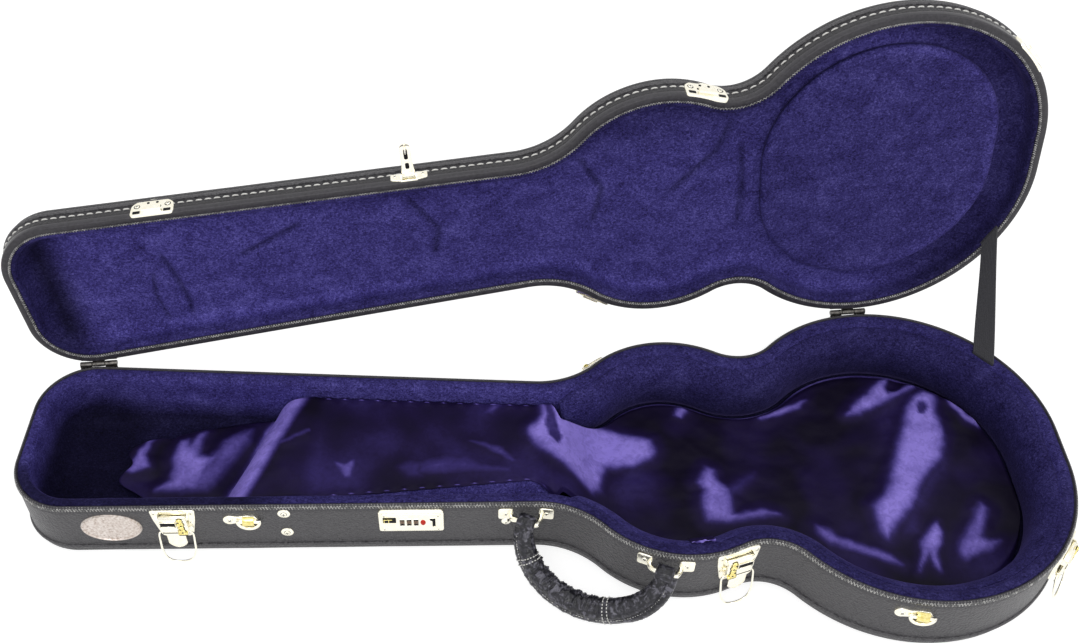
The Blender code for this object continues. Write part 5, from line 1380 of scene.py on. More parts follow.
def build_latch(index, side):
    """Side is 1 where the bead column stands right of the slot, and -1 where it stands left."""
    place = latch_place(index)
    body = f"latch_{index}_lever"
    half = [(LATCH_FOOT_HALF, LATCH_LOW), (0.0168, LATCH_LOW + 0.005), (0.0214, 0.0605),
            (0.0230, LATCH_HIGH)]
    plate_outline = [(-LATCH_FOOT_HALF, LATCH_LOW)] + half + [(-x, z) for x, z in half[:0:-1]]
    plate = Shape(GOLD, BLACK_PART_AND_PAINTED_SHADE)
    plate.slab(softened(plate_outline, 0.003), PLATE_BACK, PLATE_FRONT, PLATE_BEVEL)
    for x in (-LATCH_SCREW_X, LATCH_SCREW_X):
        plate.screw(x, LATCH_HIGH - 0.0045, PLATE_FRONT, 0.0021, 0.5 + x * 40)
        plate.dome(x * 0.93, 0.0560, PLATE_FRONT, 0.0016, 0.0008)
    ear = [(0.0002, LEVER_Z - 0.0036), (0.0058, LEVER_Z - 0.0030), (0.0070, LEVER_Z),
           (0.0058, LEVER_Z + 0.0030), (0.0002, LEVER_Z + 0.0036)]
    add_ears(plate, reach=0.01520, half_thickness=0.0008, outline=ear)
    plate.bar(-0.0158, 0.0158, LEVER_OUT, LEVER_Z, radius=0.0013)
    dress(plate.piece(f"latch_{index}_backing_plate", place), "base", "gold", f"latch_{index}_plate")
    build_lever(index, side, lifted(place, 0, LEVER_OUT, LEVER_Z), body)
    build_bail(index, lifted(place, 0, LEVER_OUT, BAIL_Z) @ Matrix.Rotation(-BAIL_TILT, 4, "X"))
    build_catch(index, place)


def build_lever(index, side, place, body):
    lever = Shape(GOLD, BLACK_PART_AND_PAINTED_SHADE, DEEP_GOLD)
    rows = []
    drops = np.concatenate([np.linspace(0.0024, -0.0205, 20), np.linspace(-0.0212, -LEVER_TIP, 12),
                            -LEVER_TIP - 0.0098 * np.sin(np.linspace(0.12, 1.0, 10) * math.pi / 2)])
    for z in drops:
        if z > -LEVER_CREASE:
            half = LEVER_HALF_WIDTH
        elif z > -LEVER_TIP - 0.0002:
            half = LEVER_HALF_WIDTH - 0.0045 * smooth_step(-z, LEVER_CREASE, 0.0262)
        else:
            half = LEVER_TIP_HALF_WIDTH * math.sqrt(max(0.0, 1 - ((-z - LEVER_TIP) / 0.0099) ** 2)) + 0.0004
        crease = 0.0007 * math.exp(-((z + 0.0212) / 0.0007) ** 2)
        roll = 0.0006 * math.exp(-((z + 0.0236) / 0.0014) ** 2)
        lobe = 0.0007 * math.exp(-((z + LEVER_TIP) / 0.008) ** 2)
        top = 0.0005 * math.exp(-((z - 0.0015) / 0.0012) ** 2)
        row = []
        for u in np.linspace(-1, 1, 17):
            edge = 0.0006 * abs(u) ** 10
            row.append((u * half, 0.0030 - crease + roll + lobe * (1 - u * u) + top - edge, z))
        rows.append(row)
    lever.sheet(rows, LEVER_THICKNESS)
    for z, radius in ((0.0, BARREL_RADIUS), (-0.022, 0.0025)):
        lever.bar(-LEVER_BARREL_HALF, LEVER_BARREL_HALF, 0.0, z, radius)
    slot = box_outline(-side * 0.0130, side * 0.0030, -0.0022, -0.0104)
    # Painted shade in the slot
    lever.slab(softened(slot, 0.0006), 0.0016, 0.0036, 0.0002, SECOND)
    lever.wire([(x, 0.0034, z) for x, z in softened(slot, 0.0008)], 0.00050, looped=True, sides=8)
    lever.bar(*sorted((-side * 0.0120, side * 0.0018)), 0.0036, -0.0090, 0.0008)
    # Painted shadow line along the crease
    lever.slab(box_outline(-0.0125, 0.0125, -0.0216, -0.0209), 0.0016, 0.0029, SLOT_BEVEL, SECOND)
    column = side * BEADS_X
    # Gold beads, each over a painted shadow ring
    for z, radius in ((0.0002, 0.0032), (-0.0058, 0.0037), (-0.0120, 0.0033), (-0.0176, 0.0039)):
        lever.dome(column, z, 0.0028, radius + 0.0006, 0.0012, SECOND)
        lever.dome(column, z + 0.0004, 0.0030, radius, 0.0024, THIRD)
    bead_back = soft_box(column - 0.0024, column + 0.0024, -0.0195, 0.0020, 0.001)
    lever.slab(bead_back, 0.0020, 0.0040, 0.0006, THIRD)
    # Painted dark reflections on the beads
    for z, shift in ((0.0002, -0.0008), (-0.0056, 0.0009), (-0.0118, -0.0006), (-0.0172, 0.0008)):
        lever.dome(column + side * shift, z, 0.0048, 0.0013, 0.0008, SECOND)
    # A gold bar, and a painted shadow line under it, below the bead column
    for near, far, out, z, radius, mark in ((0.0040, 0.0056, 0.0038, -0.0202, 0.0016, THIRD),
                                            (0.0036, 0.0050, 0.0040, -0.0226, 0.0008, SECOND)):
        lever.bar(*sorted((column - side * near, column + side * far)), out, z, radius, mark)
    dress(lever.piece(f"latch_{index}_draw_lever", place, 50), body, "gold", body)


def build_bail(index, place):
    corners = [(0.0100, 0, 0), (0.0176, 0, 0), (0.0172, 0, -0.0285), (0.0120, 0, -0.0400), (0.0, 0, -0.0430),
               (-0.0120, 0, -0.0400), (-0.0172, 0, -0.0285), (-0.0176, 0, 0), (-0.0100, 0, 0)]
    route = softened(corners, 0.0075, 9, looped=False)
    bail = Shape(GOLD).wire(route, BAIL_WIRE, sides=12)
    body = f"latch_{index}_bail"
    dress(bail.piece(f"latch_{index}_wire_bail", place, 60), body, "gold", body)


def build_catch(index, place):
    """Arched plate on the lid with the hook that the bail catches."""
    catch = Shape(GOLD, BLACK_PART_AND_PAINTED_SHADE)
    outline = [(-0.0222, 0.0002), (0.0222, 0.0002), (0.0216, 0.0165), (0.0152, 0.0226), (0.0, 0.0248),
               (-0.0152, 0.0226), (-0.0216, 0.0165)]
    catch.slab(softened(outline, 0.0035), PLATE_BACK, PLATE_FRONT, PLATE_BEVEL)
    for x in (-CATCH_SCREW_X, CATCH_SCREW_X):
        # Painted shadow ring round each screw
        catch.dome(x, 0.0140, 0.0017, 0.0034, 0.0003, SECOND)
        catch.screw(x, 0.0142, PLATE_FRONT, 0.0025, 0.3 + x * 30)
    hook = [(0.0009, 0.0028), (0.0056, 0.0028), (0.0057, 0.0094), (0.0045, 0.0096), (0.0042, 0.0042),
            (0.0009, 0.0042)]
    hook = softened(hook, 0.0006, 4)
    stations = np.concatenate([[-0.0095, -0.0091], np.linspace(-0.0086, 0.0086, 5), [0.0091, 0.0095]])
    catch.rings([[(x, out, 0.0030 + (z - 0.0030) * (0.9 if abs(x) > 0.009 else 1.0)) for out, z in hook]
                 for x in stations])
    slots = ((-0.0192, -0.0118, 0.0024, 0.0066, 0.0008), (0.0118, 0.0192, 0.0024, 0.0066, 0.0008),
             (-0.0092, 0.0092, 0.0100, 0.0128, 0.0006))
    # Painted shade in the slots
    for slot in slots:
        catch.slab(soft_box(*slot), 0.0, SLOT_FACE, SLOT_BEVEL, SECOND)
    for x in (-0.0046, 0.0046):
        catch.dome(x, 0.0186, PLATE_FRONT, 0.0015, 0.0005, SECOND)
    closed = lifted(place, z=LID_RIM)
    dress(opened(catch.piece(f"latch_{index}_catch_plate", closed)), "lid", "gold", f"latch_{index}_catch")


# Combination lock and hasp
LOCK_Z = 0.0575
LOCK_HALF_WIDTH = 0.033
LOCK_HALF_HEIGHT = 0.017
LOCK_SCREW_X = 0.0272
LOCK_STEP = 0.004
LOCK_FACE = 0.0058
WINDOW_FACE = 0.00595
WINDOW_BEVEL = 0.0002
DIAL_OUT = 0.0021
DIAL_PLACES = (-0.009, -0.002, 0.005)
DIGIT_STROKES = ("abcdef", "bc", "abged", "abgcd", "fgbc", "afgcd", "afgedc", "abc", "abcdefg", "abcdfg")
STROKE_ENDS = {"a": ((-1, 2), (1, 2)), "b": ((1, 2), (1, 0)), "c": ((1, 0), (1, -2)),
               "d": ((1, -2), (-1, -2)), "e": ((-1, -2), (-1, 0)), "f": ((-1, 0), (-1, 2)),
               "g": ((-1, 0), (1, 0))}
DIAL_RADIUS = 0.0046
DIGIT_HALF_WIDTH = 0.00085
DIGIT_HALF_STROKE = 0.00056
KNURL_DEPTH = 0.00012


def lock_place():
    joint = joints["lock_dial_1_spin"]
    at_dial = wall_matrix(joint["axis"], joint["pos_m"], DIAL_OUT)
    return lifted(at_dial, x=-DIAL_PLACES[0])


def build_lock():
    place = lock_place()
    housing = Shape(GOLD, BLACK_PART_AND_PAINTED_SHADE, DEEP_GOLD)
    low, high = LOCK_Z - LOCK_HALF_HEIGHT, LOCK_Z + LOCK_HALF_HEIGHT
    housing.slab(soft_box(-LOCK_HALF_WIDTH, LOCK_HALF_WIDTH, low, high, 0.0035), PLATE_BACK, 0.0050, 0.0016)
    step = soft_box(-0.0300, 0.0300, low + 0.0028, high - 0.0028, 0.0022)
    housing.slab(step, LOCK_STEP, LOCK_FACE, 0.0005)
    for x in (-LOCK_SCREW_X, LOCK_SCREW_X):
        for z in (low + 0.0056, high - 0.0056):
            housing.screw(x, z, 0.0057, 0.0017, x * 60 + z * 20)
    # Painted shade in the recess, the dial windows and the slot
    recess = soft_box(-0.0284, -0.0150, LOCK_Z - 0.0004, LOCK_Z + 0.0088, 0.0008)
    housing.slab(recess, LOCK_STEP, WINDOW_FACE, WINDOW_BEVEL, SECOND)
    for x in DIAL_PLACES:
        window = soft_box(x - 0.00260, x + 0.00260, LOCK_Z - 0.0056, LOCK_Z + 0.0056, 0.0006)
        housing.slab(window, LOCK_STEP, WINDOW_FACE, WINDOW_BEVEL, SECOND)
        housing.wire([(u, LOCK_FACE, z) for u, z in window], 0.0004, sides=8, looped=True)
    slot = softened([(0.0212, LOCK_Z - 0.0072), (0.0246, LOCK_Z - 0.0072), (0.0246, LOCK_Z + 0.0074),
                     (0.0186, LOCK_Z + 0.0074), (0.0186, LOCK_Z + 0.0036), (0.0212, LOCK_Z + 0.0020)], 0.0006)
    housing.slab(slot, LOCK_STEP, WINDOW_FACE, WINDOW_BEVEL, SECOND)
    housing.wire([(x, LOCK_FACE, z) for x, z in slot], 0.0003, sides=8, looped=True)
    dress(housing.piece("lock_housing", place), "base", "gold", "lock_plate")
    shaft = Shape(DEEP_GOLD).bar(-0.0128, 0.0088, DIAL_OUT, LOCK_Z, radius=0.0009, sides=14)
    dress(shaft.piece("lock_dial_spindle", place), "base", "gold", "lock_dial_shaft")
    lamp = Shape(RED).dome(0.0, 0.0, 0.0050, 0.0029, 0.0020)
    lamp.points = [(x + 0.0120, y, LOCK_Z + z * 1.7) for x, y, z in lamp.points]
    dress(lamp.piece("lock_red_indicator", place), "base", "indicator", "lock_indicator")
    button = Shape(BLACK_PART_AND_PAINTED_SHADE, DEEP_GOLD)
    button.slab(soft_box(-0.0044, 0.0044, 0.0009, 0.0071, 0.0010), 0.0010, 0.0070, 0.0006)
    for line in ((-0.0044, -0.0036, 0.0016, 0.0066), (0.0002, 0.0010, 0.0016, 0.0066),
                 (-0.0040, 0.0040, 0.0062, 0.0068)):
        button.slab(box_outline(*line), 0.0060, 0.0073, SLOT_BEVEL, SECOND)
    slider = button.piece("lock_slide_button", lifted(place, x=-0.023, z=LOCK_Z))
    dress(slider, "lock_slider", "slider", "lock_slider")
    for index, x in enumerate(DIAL_PLACES):
        build_dial(index + 1, lifted(place, x, DIAL_OUT, LOCK_Z))


def build_dial(index, place):
    """Numbered wheel with knurled edges; only a few digits show in its window."""
    dial = Shape(DIAL, BLACK_PART_AND_PAINTED_SHADE)
    rings = []
    half_rim = ((0.0012, DIAL_RADIUS), (0.0013, 0.0047), (0.0018, 0.0047), (0.0020, 0.0043))
    for x, reach in [(-x, reach) for x, reach in half_rim[::-1]] + list(half_rim):
        ring = []
        for step, turn in enumerate(full_turn(60)):
            knurl = KNURL_DEPTH * (step % 2) if abs(x) > 0.00125 else 0.0
            ring.append((x, (reach - knurl) * math.cos(turn), (reach - knurl) * math.sin(turn)))
        rings.append(ring)
    dial.rings(rings)
    for digit, strokes in enumerate(DIGIT_STROKES):
        middle = digit * math.pi / 5
        for stroke in strokes:
            route = []
            for share in (0.0, 0.5, 1.0):
                (u0, w0), (u1, w1) = STROKE_ENDS[stroke]
                u = (u0 + (u1 - u0) * share) * DIGIT_HALF_WIDTH
                turn = middle + (w0 + (w1 - w0) * share) * DIGIT_HALF_STROKE / DIAL_RADIUS
                route.append((u, DIAL_RADIUS * math.cos(turn), DIAL_RADIUS * math.sin(turn)))
            dial.wire(route, 0.00020, SECOND, 5)
    dress(dial.piece(f"lock_number_wheel_{index}", place), f"lock_dial_{index}", "dial", f"lock_dial_{index}")


HASP_OUT = 0.0054
HASP_RISE = 0.0055
TONGUE_HALF_WIDTH = 0.0065
TONGUE_STRAIGHT = 0.0290
TONGUE_TIP = 0.0070


def build_hasp():
    """Two-tab plate on the lid and the tongue that swings down over the lock."""
    joint = joints["hasp_hinge"]
    inverse = OPENING.inverted()
    axis = inverse.to_3x3() @ Vector(joint["axis"])
    point = inverse @ Vector(joint["pos_m"])
    place = wall_matrix(axis, point, HASP_OUT)
    plate = Shape(GOLD, BLACK_PART_AND_PAINTED_SHADE)
    for side in (-1, 1):
        inner, outer = side * 0.0062, side * 0.0188
        tab = [(inner, 0.0020), (outer, 0.0040), (outer, 0.0142), (inner, 0.0142)]
        plate.slab(softened(tab, 0.0022), PLATE_BACK, PLATE_FRONT, 0.0006)
        plate.screw(side * 0.0142, 0.0096, PLATE_FRONT, 0.0020, 0.6 * side)
    plate.slab(soft_box(-0.0090, 0.0090, 0.0016, 0.0132, 0.001), PLATE_BACK, 0.0017, 0.0005)
    ear = [(0.0002, 0.0022), (0.0054, 0.0022), (0.0066, HASP_RISE), (0.0054, 0.0088), (0.0002, 0.0088)]
    add_ears(plate, reach=0.0077, half_thickness=0.0007, outline=ear)
    plate.bar(-0.0084, 0.0084, HASP_OUT, HASP_RISE, radius=0.0012)
    # Painted shade in the slots
    for x in (-0.0036, 0.0036):
        slot = soft_box(x - 0.0022, x + 0.0022, 0.0094, 0.0124, 0.0004)
        plate.slab(slot, 0.0, 0.0019, SLOT_BEVEL, SECOND)
    dress(opened(plate.piece("hasp_two_tab_plate", lifted(place, z=LID_RIM))), "lid", "gold", "hasp_plate")
    tongue = Shape(GOLD, BLACK_PART_AND_PAINTED_SHADE)
    near, far = 0.0012, 0.0027
    rows = []
    tip = -TONGUE_STRAIGHT - TONGUE_TIP * np.sin(np.linspace(0.15, 1, 8) * math.pi / 2)
    for z in np.concatenate([np.linspace(0, -TONGUE_STRAIGHT, 22), tip]):
        half = TONGUE_HALF_WIDTH
        if z <= -TONGUE_STRAIGHT:
            half = half * math.sqrt(max(0.0, 1 - ((-z - TONGUE_STRAIGHT) / 0.0071) ** 2)) + 0.0003
        half *= 1 - 0.10 * smooth_step(-z, 0.004, 0.012)
        ridge = 0.0005 * math.exp(-((z + 0.0330) / 0.002) ** 2)
        rows.append([(u * half, far + ridge - 0.0004 * abs(u) ** 8, z) for u in np.linspace(-1, 1, 13)])
    tongue.sheet(rows, far - near)
    tongue.bar(-TONGUE_HALF_WIDTH, TONGUE_HALF_WIDTH, 0, 0, BARREL_RADIUS)
    staple_z = LOCK_Z - LID_RIM - HASP_RISE
    loop = [(0, near, staple_z + 0.0036), (0, near - 0.0030, staple_z + 0.0034),
            (0, near - 0.0030, staple_z - 0.0034), (0, near, staple_z - 0.0036)]
    tongue.wire(softened(loop, 0.0016, 6, looped=False), 0.0010, sides=10)
    # Painted shade in the slots, on both faces
    for z, length in ((-0.0100, 0.0034), (-0.0240, 0.0060)):
        slot = soft_box(-0.0020, 0.0020, z - length, z + length, 0.0018)
        for face in (near - 0.0003, far - 0.0010):
            tongue.slab(slot, face, face + 0.0013, SLOT_BEVEL, SECOND)
    pivot = lifted(place, 0, HASP_OUT, LID_RIM + HASP_RISE) @ Matrix.Rotation(-math.pi / 2, 4, "X")
    dress(opened(tongue.piece("hasp_tongue", pivot, 50)), "lock_hasp", "gold", "lock_hasp")


# Handle and its brackets
HANDLE_SHARES = (0.486, 0.611)
HANDLE_HALF_SPAN = 0.0721712
HANDLE_REACH = 0.062
HANDLE_END_RADIUS = 0.0076
HANDLE_SWELL = 0.0042
HANDLE_EYE_HALF = 0.0090
HANDLE_TILT = math.radians(34)
SEAM_STITCH_HALF = 0.0011
WRAP = (math.radians(34), math.radians(113))
BRACKET_TAB_SHIFT = 0.0205


def handle_place():
    joint = joints["handle_hinge"]
    right = -Vector(joint["axis"])
    return lifted(wall_matrix(right, joint["pos_m"]), z=joint["pos_m"][2])


def handle_section(turn):
    """Middle of the handle at a turn along it, its heading, the way outwards and its radius."""
    middle = np.array((-HANDLE_HALF_SPAN * math.cos(turn), 0, -HANDLE_REACH * math.sin(turn)))
    heading = np.array((HANDLE_HALF_SPAN * math.sin(turn), 0, -HANDLE_REACH * math.cos(turn)))
    heading /= np.linalg.norm(heading)
    outer = np.array((heading[2], 0, -heading[0]))
    return middle, heading, outer, HANDLE_END_RADIUS + HANDLE_SWELL * math.sin(turn) ** 0.8


def handle_ring(turn, grow=0.0, sides=40):
    """Ring round the handle at a turn along it: nearly round, with a seam flange on its outer side."""
    middle, _, outer, radius = handle_section(turn)
    in_wrap = float(smooth_step(turn, WRAP[0], WRAP[0] + 0.05) * smooth_step(WRAP[1] - turn, 0, 0.05))
    ring = []
    split = float(smooth_step(turn, 2.05, 2.45))
    for around in full_turn(sides):
        flange = (0.0026 + 0.0026 * split) * max(0.0, math.cos(around)) ** 6
        groove = (0.0016 + 0.0016 * split) * math.exp(-((math.cos(around) - 0.66) / 0.08) ** 2)
        if in_wrap:
            ridge = noise.noise(Vector((turn * 26, math.cos(around) * 1.3, math.sin(around) * 1.3)))
            small = noise.noise(Vector((turn * 60 + 4, math.cos(around) * 3, math.sin(around) * 3)))
            inner_side = 0.5 - 0.5 * math.cos(around)
            crinkle = (0.0024 * ridge + 0.0011 * small) * in_wrap * (0.40 + 0.60 * inner_side) - 0.0004
        else:
            fold = math.sin(around * 3 + turn * 2.0)
            grain = noise.noise(Vector((turn * 45 + 9, math.cos(around) * 2.2, math.sin(around) * 2.2)))
            crinkle = 0.00035 * fold + 0.0005 * grain
        reach = radius + grow + flange - groove + crinkle + 0.0005 * in_wrap
        spot = middle + (outer * math.cos(around) + np.array((0, 1, 0)) * math.sin(around)) * reach
        ring.append(tuple(spot))
    return ring


def build_handle():
    place = handle_place() @ Matrix.Rotation(-HANDLE_TILT, 4, "X")
    grip = Shape(LEATHER, WHITE_THREAD, BLACK_PART_AND_PAINTED_SHADE)
    turns = np.linspace(0, math.pi, 260)
    grip.rings([handle_ring(turn) for turn in turns])
    eye = ((-1, 0.0068), (-0.9, 0.0080), (-0.4, 0.0086), (0.4, 0.0086), (0.9, 0.0080), (1, 0.0068))
    for x in (-HANDLE_HALF_SPAN, HANDLE_HALF_SPAN):
        grip.rings([[(x + share * HANDLE_EYE_HALF, reach * math.cos(turn), reach * math.sin(turn))
                     for turn in full_turn(28)] for share, reach in eye])
    edge = []
    for turn in np.linspace(0.16, math.pi - 0.16, 90):
        middle, _, outer, radius = handle_section(turn)
        edge.append(tuple(middle + outer * (radius + 0.0020)))
    grip.wire(edge, 0.0012)
    stitch_rings(grip)
    stitch_edge(grip)
    dress(grip.piece("handle_leather_grip", place, 70), "handle", "leather", "handle")


def stitch_rings(grip):
    """Two rows of stitches round each end of the gathered wrap."""
    for edge in WRAP:
        for shift in (-0.035, 0.035):
            ring = handle_ring(edge + shift, 0.0006, 44)
            for step in range(0, 44, 2):
                a = ring[step]
                b = ring[(step + 1) % 44]
                middle = [(p + q) / 2 for p, q in zip(a, b)]
                grip.wire([a, middle, b], 0.00058, SECOND, 5)


def stitch_edge(grip):
    """Slanted stitches on both sides of the seam flange."""
    for side in (-1, 1):
        for turn in np.linspace(0.22, math.pi - 0.22, 74):
            middle, heading, outer, radius = handle_section(turn)
            base = middle + outer * (radius * 0.78) + np.array((0, side * radius * 0.60, 0))
            half = heading * SEAM_STITCH_HALF
            bulge = np.array((0, side * 0.0002, 0))
            route = [tuple(base - half), tuple(base + bulge), tuple(base + half)]
            grip.wire(route, 0.00042, SECOND, 5)


def build_bracket(name, node, share, x_sign, extra):
    """Wire link from one square tab to the other, through the handle's end."""
    length = front_length_at_share(share)
    place = wall_place(length)
    inverse = place.inverted()
    frame_place = handle_place()
    bracket = Shape(GOLD, BLACK_PART_AND_PAINTED_SHADE)
    bar = [inverse @ frame_place @ Vector((x_sign * HANDLE_HALF_SPAN + x, 0, 0)) for x in (-0.010, 0.010)]
    z = bar[0].z
    feet = []
    for side in (-1, 1):
        tab_place = wall_place(length - side * BRACKET_TAB_SHIFT)
        local = inverse @ tab_place
        tab = Shape(GOLD, BLACK_PART_AND_PAINTED_SHADE)
        tab.slab(soft_box(-0.0076, 0.0076, z - 0.0086, z + 0.0084, 0.0032), -0.002, 0.0022, 0.0009)
        tab.screw(0, z + 0.0004, 0.0021, 0.0027, 0.4)
        if side == -1 and extra:
            tab.dome(0.0005, z - 0.0142, 0.0, 0.0052, 0.0026)
            tab.screw(0.0005, z - 0.0142, 0.0020, 0.0024, 0.9)
        first = len(bracket.points)
        bracket.points += [tuple(local @ Vector(point)) for point in tab.points]
        bracket.faces += [tuple(first + index for index in face) for face in tab.faces]
        bracket.marks += tab.marks
        foot = local @ Vector((-side * 0.0052, -0.0010, z - 0.0030))
        feet.append(foot)
    route = [feet[0], feet[0] + Vector((0.0010, -0.0062, 0.0008)), bar[0], bar[1],
             feet[1] + Vector((-0.0010, -0.0062, 0.0008)), feet[1]]
    route = softened([(point.x, -point.y, point.z) for point in route], 0.0035, 7, looped=False)
    bracket.wire(route, 0.0027, sides=14)
    dress(bracket.piece(name, place), "base", "gold", node)


# Strap anchors, badge and rivets
ANCHOR_OUT = 0.0038
ANCHOR_EYE_X = 0.008
ANCHOR_END_RADIUS = 0.0072
SHELL_BACK = 0.0009
RING_RADIUS = 0.011
RING_WIRE = 0.0021
BADGE_SHARE = 0.097
BADGE_Z = BASE_DEPTH * 0.58
BADGE_HALF_WIDTH = 0.031
BADGE_HALF_HEIGHT = 0.022
RIVET_SHARE = 0.261
RIVET_HEIGHT_SHARES = (0.44, 0.84)
RIVET_EDGE = 0.0060


def build_anchor(index):
    joint = joints[f"strap_ring_{index}_hinge"]
    right = -Vector(joint["axis"])
    place = lifted(wall_matrix(right, joint["pos_m"], ANCHOR_OUT), x=-ANCHOR_EYE_X)
    z = joint["pos_m"][2]
    plate = Shape(GOLD, BLACK_PART_AND_PAINTED_SHADE, DEEP_GOLD)
    outline = [(-0.0180 + ANCHOR_END_RADIUS - ANCHOR_END_RADIUS * math.cos(turn),
                z + ANCHOR_END_RADIUS * math.sin(turn))
               for turn in np.linspace(-1.45, 1.45, 14)]
    outline += [(-0.0030, z + 0.0052), (0.0060, z + 0.0070), (0.0140, z + 0.0062), (0.0178, z),
                (0.0140, z - 0.0062), (0.0060, z - 0.0070), (-0.0030, z - 0.0052)]
    plate.slab(outline[::-1], -0.0035, PLATE_FRONT, PLATE_BEVEL)
    plate.screw(-0.0108, z, PLATE_FRONT, 0.0030, 0.8)
    stations = np.linspace(-1, 1, 9)
    shell_rings = []
    for u in stations:
        swell = math.sqrt(max(0.0, 1 - (u * 0.92) ** 2))
        outer = SHELL_BACK + (0.0060 - SHELL_BACK) * (0.78 + 0.22 * swell)
        ring = []
        x = ANCHOR_EYE_X + u * 0.0058
        for facing, grow, tall in ((1, 0.0008, 0.0062), (-1, -0.0014, 0.0040)):
            for turn in np.linspace(-facing * math.pi / 2, facing * math.pi / 2, 13):
                ring.append((x, SHELL_BACK + (outer + grow) * math.cos(turn), z + tall * math.sin(turn)))
        shell_rings.append(ring)
    plate.rings(shell_rings, THIRD)
    dress(plate.piece(f"strap_anchor_{index}_mount", place), "base", "gold", f"strap_anchor_{index}_plate")
    ring = [(RING_RADIUS * math.cos(turn), 0, -RING_RADIUS * math.sin(turn))
            for turn in np.linspace(0, math.pi, 26)]
    straight = [(RING_RADIUS * (2 * share - 1), 0, 0) for share in np.linspace(0.06, 0.94, 12)]
    link = Shape(GOLD).wire(ring + straight, RING_WIRE, sides=14, looped=True)
    item = link.piece(f"strap_anchor_{index}_link", lifted(place, ANCHOR_EYE_X, ANCHOR_OUT, z), 60)
    dress(item, f"strap_anchor_{index}_ring", "gold", f"strap_anchor_{index}_ring")


TAB_SHARE = 0.648
TAB_WIDTH = 0.024
# Insets and heights of the bolster's slope that the tab lies on
TAB_PATH = ((0.0012, 0.0771), (0.0042, 0.0760), (0.0080, 0.0735), (0.0119, 0.0697), (0.0150, 0.0646))


def build_pull_tab():
    """Short satin ribbon that lies on the slope of the front bolster, crumpled where it's sewn in."""
    xs = np.linspace(-TAB_WIDTH / 2, TAB_WIDTH / 2, 41)
    shares = np.linspace(0, 1, 17)
    inset = np.interp(shares, np.linspace(0, 1, len(TAB_PATH)), [step[0] for step in TAB_PATH])
    height = np.interp(shares, np.linspace(0, 1, len(TAB_PATH)), [step[1] for step in TAB_PATH])
    grid_x = np.repeat(xs, len(shares))
    share = np.tile(shares, len(xs))
    crumple = 1 - smooth_step(share, 0.10, 0.34)
    wave = grid_x * 420 + share * 9
    lift = 0.0004 + crumple * (0.0010 + 0.0009 * np.sin(wave) + 0.0004 * np.sin(grid_x * 1150))
    inwards = LINED_WALL + np.tile(inset, len(xs)) + lift * 0.5
    top = np.column_stack([grid_x, inwards, np.tile(height, len(xs)) + lift])
    item = piece_from("bolster_pull_tab", np.concatenate([top, top - np.array((0, 0.0003, 0.0005))]),
                      sheet_faces(len(xs), len(shares)), SATIN)
    item.data.transform(wall_place(front_length_at_share(TAB_SHARE)))
    # Painted highlights on the crumpled end of the ribbon
    glow = 0.10 + 0.85 * np.clip(crumple * (0.75 + 0.5 * np.sin(wave + 0.8)), 0, 1)
    values_on(item, "painted_highlight", np.concatenate([glow, glow]))
    dress(item, "base", "satin")


def build_badge():
    """Blank oval badge with a raised rim and a faintly hammered face."""
    place = wall_place(front_length_at_share(BADGE_SHARE))

    def oval(reach):
        return round_outline(0, BADGE_Z, BADGE_HALF_WIDTH * reach, BADGE_HALF_HEIGHT * reach, 64)

    badge = Shape(BADGE)
    badge.slab(oval(1), -0.004, 0.0012, 0.0005)
    rim = ((0.985, 0.0009), (0.965, 0.0023), (0.940, 0.0026), (0.915, 0.0022), (0.895, 0.0009))
    badge.rings([[(x, out, w) for x, w in oval(reach)] for reach, out in rim])
    face = []
    for reach in np.linspace(0.90, 0.04, 20):
        dents = [0.00022 * noise.noise(Vector((x * 420, w * 420, 3.0))) for x, w in oval(reach)]
        face.append([(x, 0.00135 + dent, w) for (x, w), dent in zip(oval(reach), dents)])
    badge.rings([[(x, 0.0008, w) for x, _, w in face[0]]] + face)
    dress(badge.piece("badge_oval", place), "base", "badge", "badge_plate")


def build_rivets():
    place = wall_place(front_length_at_share(RIVET_SHARE))
    for index, share in enumerate(RIVET_HEIGHT_SHARES):
        rivet = Shape(GOLD, BLACK_PART_AND_PAINTED_SHADE)
        z = BASE_DEPTH * share
        rivet.dome(0, z, 0.0003, 0.0062, 0.0014, sides=36)
        edge = [(x, 0.0006, w) for x, w in round_outline(0, z, RIVET_EDGE, RIVET_EDGE)]
        rivet.wire(edge, 0.0005, sides=8, looped=True)
        # Painted dark reflection round the screw
        rivet.dome(0, z, 0.0012, 0.0036, 0.0008, SECOND)
        rivet.screw(0, z, 0.0016, 0.0029, 0.4 + index)
        dress(rivet.piece(f"front_rivet_{index + 1}_head", place), "base", "gold", f"front_rivet_{index + 1}")


# Hinges
HINGE_OUT = 0.0035
HINGE_HALF_WIDTH = 0.020
LEAF_NEAR = 0.0036
LEAF_FAR = 0.0200
LEAF_FRONT = 0.0016
KNUCKLE_RADIUS = 0.0030
KNUCKLE_LIP = (0.0008, 0.0020, 0.0002)
HINGE_SCREWS = (-0.0145, 0.0, 0.0145)
LID_KNUCKLE_HALF = 0.0067
BASE_KNUCKLE_START = 0.0071


